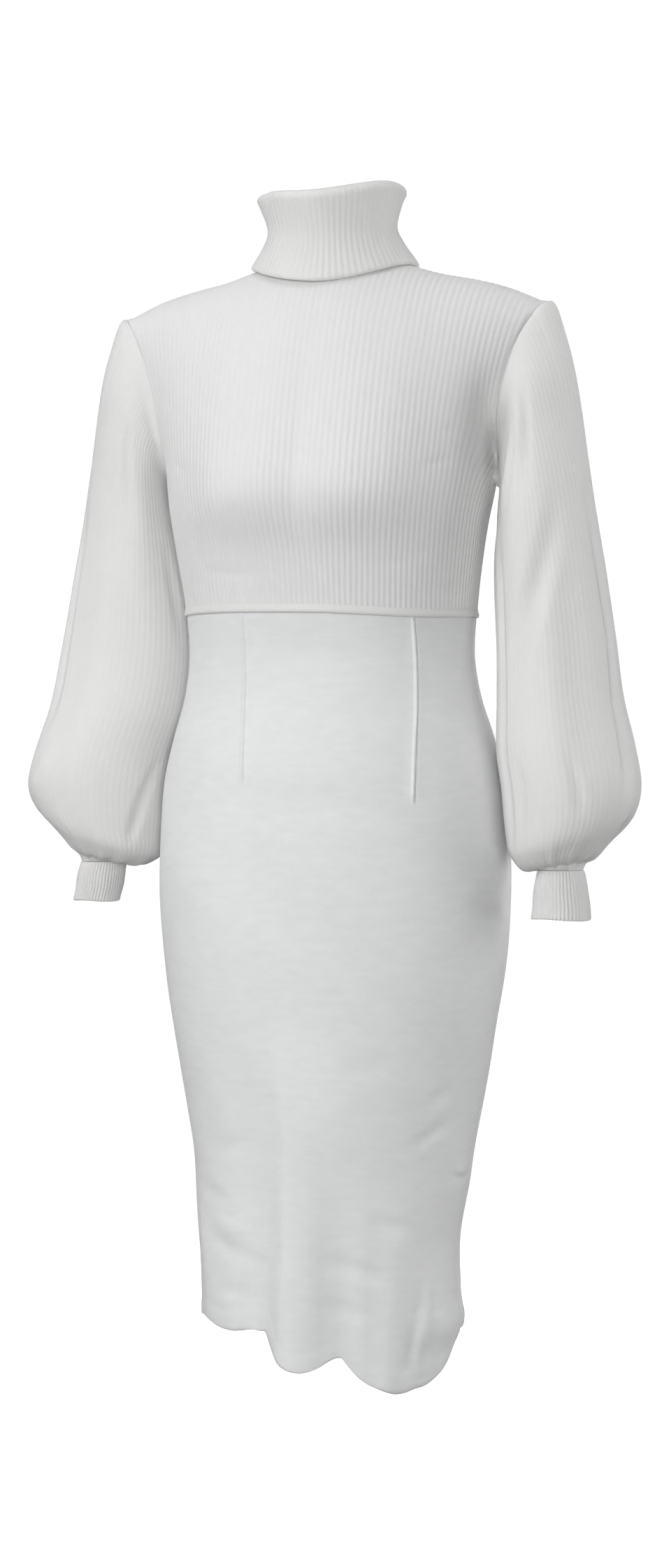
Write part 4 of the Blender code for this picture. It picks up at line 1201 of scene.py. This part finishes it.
def makeSleeve(side, name):
    turn = np.linspace(0, 1, sleeveLook["ribs"] * sleeveLook["pointsPerRib"] + 1)
    at = sleeveRowPlaces(side)
    armhole = armholeRing(side)
    grid = sleeveGrid(side, at, turn, armhole)
    grid = grid + sleeveNormals(grid, turn, armhole) * sleeveFoldOut(side, at, turn)[..., None]
    normals = sleeveNormals(grid, turn, armhole)
    down = runAlong(grid).mean(axis=1)
    wall, last = clothMake["wall"], len(at) - 1
    phase = turn * sleeveLook["ribs"] * 2 * math.pi
    around = turn * sleeveLook["ribs"] * sleeveLook["ribPitch"]
    fromUnderarm = np.minimum(turn, 1 - turn) * sleeveLook["ribs"] * sleeveLook["underarmPitch"]
    underarm = sleeveLook["underarmDip"] * hump(fromUnderarm, sleeveLook["underarmDipWide"])
    outer, inner = [], []
    for row in range(len(at)):
        fade = 1 - 0.5 * smoothStep(14.5, 16, at[row])
        wander = 0.5 * waves(4.4 + side, np.sin(turn * 2 * math.pi) * 3, down[row] * 22)
        ribs = sleeveLook["ribHeight"] * fade * (0.5 + 0.5 * np.cos(phase + wander))
        tall = sleeveLook["seamDipTall"]
        dip = hump(down[row], tall) + 0.6 * hump(down[-1] - down[row], tall)
        lift = wall / 2 + ribs + gatherOut(turn, at[row], side)
        lift = lift - clothMake["seamDip"] * dip - underarm
        uvs = paired(around, down[row])
        outer.append((turn, grid[row] + normals[row] * lift[:, None], uvs))
        if row % 3 == 0 or row == last:
            pick = slice(None, None, 1 if row in (0, last) else 5)
            within = grid[row] - normals[row] * wall / 2
            inner.append((turn[pick], within[pick], uvs[pick]))
    clothPiece(name, knitSleeve, outer, inner, True)


makeSleeve(1, "sleeveLeft")
makeSleeve(-1, "sleeveRight")
print("sleeves made")

# Cuffs.
cuffLook = {
    "ribs": 48,
    "pointsPerRib": 6,
    "ribHeight": 0.00085,
    "ribPitch": 0.0031,
    "rowGap": 0.0021,
    "depthShare": 1.14,
    "seamDip": 0.0006,
    "seamDipTall": 0.003,
    "flare": 0.0008,
    "sag": 0.0004,
    "uneven": 0.0006,
}
cuffSizes = {
    1: {"topRadius": 0.0192, "endRadius": 0.0248, "drop": 0.0420, "lean": 0.001},
    -1: {"topRadius": 0.0192, "endRadius": 0.0195, "drop": 0.0350, "lean": 0.006},
}


def makeCuff(side, name):
    size = cuffSizes[side]
    wrist = sleeveSizes(side, np.array([len(sleeveTable["outerX"]) - 1.0]))
    middleX = (wrist["outerX"][0] + wrist["innerX"][0]) / 2
    topZ = wrist["outerZ"][0] - clothMake["seamGap"]
    rows = int(size["drop"] / cuffLook["rowGap"]) + 1
    turn = np.linspace(0, 1, cuffLook["ribs"] * cuffLook["pointsPerRib"] + 1)

    def cuffRow(share, marks, lift):
        angle = marks * 2 * math.pi
        radius = size["topRadius"] + (size["endRadius"] - size["topRadius"]) * share
        reach = radius + cuffLook["flare"] * hump(share - 0.45, 0.5) + lift
        reach = reach + cuffLook["uneven"] * np.sin(3 * angle + 1.1 * side) * share
        sag = cuffLook["sag"] * math.sin(share * 9.0 + side) * share
        ring = np.stack([
            (middleX + size["lean"] * share + sag - reach * np.cos(angle)) * side,
            wrist["middleY"][0] - reach * cuffLook["depthShare"] * np.sin(angle),
            topZ - size["drop"] * share * (1 + 0.02 * np.cos(2 * angle + side)),
        ], axis=-1)
        around = marks * cuffLook["ribs"] * cuffLook["ribPitch"]
        return marks, ring, paired(around, share * size["drop"])

    ribs = cuffLook["ribHeight"] * ribShape(turn * cuffLook["ribs"] * 2 * math.pi)
    outer, inner = [], []
    for row, share in enumerate(np.linspace(1, 0, rows + 1)):
        dip = cuffLook["seamDip"] * hump(share * size["drop"], cuffLook["seamDipTall"])
        outer.append(cuffRow(share, turn, clothMake["wall"] / 2 + ribs - dip))
        if row % 3 == 0 or row == rows:
            inner.append(cuffRow(share, turn[::3], -clothMake["wall"] / 2))
    clothPiece(name, knitTrim, roundedEdge(outer, inner), inner, True)


makeCuff(1, "cuffLeft")
makeCuff(-1, "cuffRight")

# Collar: rings up the outside from the fold's edge, over the top and down the inside to the
# neck seam, given by table rows.
collarLook = {
    "lean": -0.010,
    "seat": 0.0010,
    "edgeZ": (-0.0120, 0.0102, 0.0055),  # front, sides and back
    "topZ": (0.0664, 0.0770, 0.0830),
    "tilt": 0.0025,
    "ribs": 76,
    "pointsPerRib": 6,
    "ribHeight": 0.00049,
    "ribPitch": 0.00465,
    "rowGap": 0.0024,
    "insideRow": 9,  # from here the inside runs down to the seam
    "seamRow": 11,
    "ribWander": 0.35,
    "edgeRoll": 0.0034,
    "edgeRollTall": 0.011,
    "edgeLift": 0.0002,
    "uneven": 0.0010,
}
collarTable = tableOf("radius height ribbed", (
    (0.0745, 0.000, 1.00),
    (0.0640, 0.260, 1.00),
    (0.0583, 0.500, 1.00),
    (0.0638, 0.800, 0.75),
    (0.0665, 0.900, 0.55),
    (0.0645, 0.970, 0.45),
    (0.0585, 1.000, 0.45),
    (0.0548, 0.960, 0.60),
    (0.0535, 0.860, 0.70),
    (0.0540, 0.500, 0.70),
    (0.0575, 0.220, 0.60),
    (0.0640, 0.050, 0.30),
))
collarRows = np.arange(len(collarTable["radius"]), dtype=float)


def collarSize(column, at):
    return curveAt(collarRows, collarTable[column], at)


def levelAt(frontSideBack, angle):
    front, sideways, back = frontSideBack
    facing = np.cos(angle)
    return sideways + np.where(facing > 0, front - sideways, back - sideways) * facing**2


def makeCollar(name):
    turn = np.linspace(0, 1, collarLook["ribs"] * collarLook["pointsPerRib"] + 1)
    angle = turn * 2 * math.pi
    edge = levelAt(collarLook["edgeZ"], angle)
    top = levelAt(collarLook["topZ"], angle) + collarLook["tilt"] * np.sin(angle)
    seat = neckHeight(angle) + collarLook["seat"]

    def ring(at):
        height = min(collarSize("height", at), 1.0)
        wave = waves(5.2, np.sin(angle) * 2.1, np.cos(angle) * 1.7, at * 0.5 + 0 * angle)
        inSeam = smoothStep(collarLook["insideRow"], collarLook["seamRow"], at)
        wave = collarLook["uneven"] * wave * (1 - inSeam)
        radius = collarSize("radius", at) + wave
        z = edge + collarLook["edgeLift"] * hump(at, 1.5) + height * (top - edge)
        z = z + (seat - z) * inSeam
        y = neckCut["middleY"] + collarLook["lean"] * height
        y = y - radius * neckCut["aspect"] * np.cos(angle)
        return np.stack([radius * np.sin(angle), y, z + 0.5 * wave], axis=-1)

    fine = np.linspace(0, collarRows[-1], 300)
    run = runAlong(np.array([ring(at)[::20] for at in fine])).mean(axis=1)
    rows = int(run[-1] / collarLook["rowGap"])
    places = np.interp(np.linspace(0, run[-1], rows + 1), run, fine)
    grid = np.array([ring(at) for at in places])
    normals = tubeNormals(grid, 5)
    wall = clothMake["wall"]
    outer, inner = [], []
    for row, at in enumerate(places):
        wander = collarLook["ribWander"] * waves(6.6, np.sin(angle) * 3, at * 0.8 + 0 * angle)
        ribs = ribShape(turn * collarLook["ribs"] * 2 * math.pi + wander)
        ribs = collarLook["ribHeight"] * collarSize("ribbed", at) * ribs
        length = row * run[-1] / rows
        uvs = paired(turn * collarLook["ribs"] * collarLook["ribPitch"], length)
        outer.append((turn, grid[row] + normals[row] * (wall / 2 + ribs)[:, None], uvs))
        if row % 2 == 0 or row < 4 or row == rows:
            pick = slice(None, None, 1 if row in (0, rows) else 3)
            within = wall / 2 + collarLook["edgeRoll"] * hump(length, collarLook["edgeRollTall"])
            inner.append((turn[pick], (grid[row] - normals[row] * within)[pick], uvs[pick]))
    clothPiece(name, knitTrim, roundedEdge(outer, inner), inner, True)


makeCollar("collarFold")
print("collar and cuffs made")

# Waist welt: a raised tuck over the waist seam. Its profile has a rise in shares of its height,
# and how far it stands out of the figure's section.
weltLook = {
    "height": 0.0056, "columns": 420, "length": 0.74, "uneven": 0.00018, "sideFlat": 0.30,
    "inside": 0.0015, "insideRises": (-0.40, 0.0, 0.70),
}
weltProfile = (
    (-0.44, 0.0016), (-0.53, 0.0024), (-0.49, 0.0034), (-0.33, 0.0041), (-0.08, 0.0042),
    (0.20, 0.0037), (0.46, 0.0030), (0.68, 0.0024), (0.80, 0.0020), (0.80, 0.0018),
)


def makeWelt(name):
    turn = np.linspace(0, 1, weltLook["columns"] + 1)
    angle = turn * 2 * math.pi
    part = np.arcsin(np.clip(np.sin(angle), -1, 1)) / (math.pi / 2)
    isFront = np.cos(angle) > 0
    seam = np.where(isFront, waistHeight(part, -1), waistHeight(part, 1))
    uneven = weltLook["uneven"] * waves(7.7, np.sin(angle) * 9, np.cos(angle) * 7)

    def weltRow(rise, out, down):
        height = seam + rise * weltLook["height"]
        front, back = (sectionPoint(height, part, side) for side in (-1, 1))
        points = np.where(isFront[:, None], front, back)
        normal = unit(np.cross(ringDirections(points), np.array([0, 0, 1.0])))
        flat = 1 - weltLook["sideFlat"] * np.abs(np.sin(angle)) ** 6 * (out > 0.002)
        moved = points + normal * (out * flat + uneven)[:, None]
        return turn, moved, paired(turn * weltLook["length"], down)

    outer = [weltRow(rise, out, 0.0012 * k) for k, (rise, out) in enumerate(weltProfile)]
    inner = [weltRow(rise, weltLook["inside"], 0.01 + rise * 0.005)
             for rise in weltLook["insideRises"]]
    clothPiece(name, knitTrim, outer, inner, True)


makeWelt("waistWelt")
print("welt made")

# Each piece stands for its node and rides on the one body.
pieceFacts = (
    ("bodiceFront", "bodice_front", "knit_bodice"),
    ("bodiceBack", "bodice_back", "knit_bodice"),
    ("sleeveLeft", "sleeve_left", "knit_sleeve"),
    ("sleeveRight", "sleeve_right", "knit_sleeve"),
    ("cuffLeft", "cuff_left", "knit_trim"),
    ("cuffRight", "cuff_right", "knit_trim"),
    ("collarFold", "collar", "knit_trim"),
    ("waistWelt", "waist_welt", "knit_trim"),
    ("skirtFront", "skirt_front", "knit_skirt"),
    ("skirtBack", "skirt_back", "knit_skirt"),
)
for name, node, slotName in pieceFacts:
    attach(pieces[name], "root")
    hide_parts(node)

# Stage: a pale floor that bends up into a wall all round, lit by its own glow.
stageLook = {
    "floorZ": -1.46,
    "middleRadius": 0.5,
    "flatRadius": 6.5,
    "bendRadius": 2.5,
    "wallTop": 7.0,
    "around": 64,
    "bendRings": 17,
    "colour": (0.90, 0.90, 0.90, 1),
    "roughness": 0.95,
    "glow": 1.0,
}


def makeStage():
    around, bendRadius = stageLook["around"], stageLook["bendRadius"]
    profile = [(stageLook["middleRadius"], 0.0)]
    for bend in np.linspace(0, math.pi / 2, stageLook["bendRings"]):
        profile.append((stageLook["flatRadius"] + bendRadius * math.sin(bend),
                        bendRadius * (1 - math.cos(bend))))
    profile.append((stageLook["flatRadius"] + bendRadius, stageLook["wallTop"]))
    points = [(0, 0, stageLook["floorZ"])]
    for reach, rise in profile:
        for angle in np.arange(around) * 2 * math.pi / around:
            points.append((reach * math.cos(angle), reach * math.sin(angle),
                           stageLook["floorZ"] + rise))
    faces = [(0, 1 + k, 1 + (k + 1) % around) for k in range(around)]
    for ring in range(1, 1 + around * (len(profile) - 1), around):
        for k in range(around):
            a, b = ring + k, ring + (k + 1) % around
            faces.append((a, a + around, b + around, b))
    mesh = bpy.data.meshes.new("floorSweep")
    mesh.from_pydata(points, [], faces)
    mesh.shade_smooth()
    material = bpy.data.materials.new("paleStage")
    material.use_nodes = True
    shader = material.node_tree.nodes["Principled BSDF"].inputs
    shader["Base Color"].default_value = stageLook["colour"]
    shader["Roughness"].default_value = stageLook["roughness"]
    shader["Emission Color"].default_value = (1, 1, 1, 1)
    shader["Emission Strength"].default_value = stageLook["glow"]
    mesh.materials.append(material)
    floor = bpy.data.objects.new("floorSweep", mesh)
    bpy.context.scene.collection.objects.link(floor)
    floor.visible_diffuse = False
    return floor


makeStage()

# The lamps alone light the cloth, so the world gives none.
world = bpy.data.worlds.new("studio")
world.use_nodes = True
world.node_tree.nodes["Background"].inputs["Strength"].default_value = 0.0
bpy.context.scene.world = world

lightAim = Vector((0, 0, -0.45))
lightTable = (  # place, size across and watts
    ("leftKey", (-1.7, -2.4, 0.75), 2.0, 36),
    ("leftSide", (-3.0, -0.6, 0.2), 2.0, 12),
    ("frontFill", (0.7, -3.3, -0.3), 1.6, 56),
    ("topLight", (0.0, -0.5, 2.6), 2.6, 42),
    ("rightRim", (2.4, 1.2, -0.2), 2.0, 37),
    ("lowLeft", (-1.6, -1.4, -1.3), 1.0, 7),
    ("lowRight", (1.6, -1.4, -1.3), 1.0, 6),
    ("backFill", (-0.9, 3.3, 0.2), 2.0, 84),
)
for name, place, size, power in lightTable:
    data = bpy.data.lights.new(name, "AREA")
    data.shape = "DISK"
    data.size = size
    data.energy = power
    lamp = bpy.data.objects.new(name, data)
    lamp.location = place
    lamp.rotation_mode = "QUATERNION"
    lamp.rotation_quaternion = (lightAim - Vector(place)).to_track_quat("-Z", "Y")
    bpy.context.scene.collection.objects.link(lamp)
print("stage made")
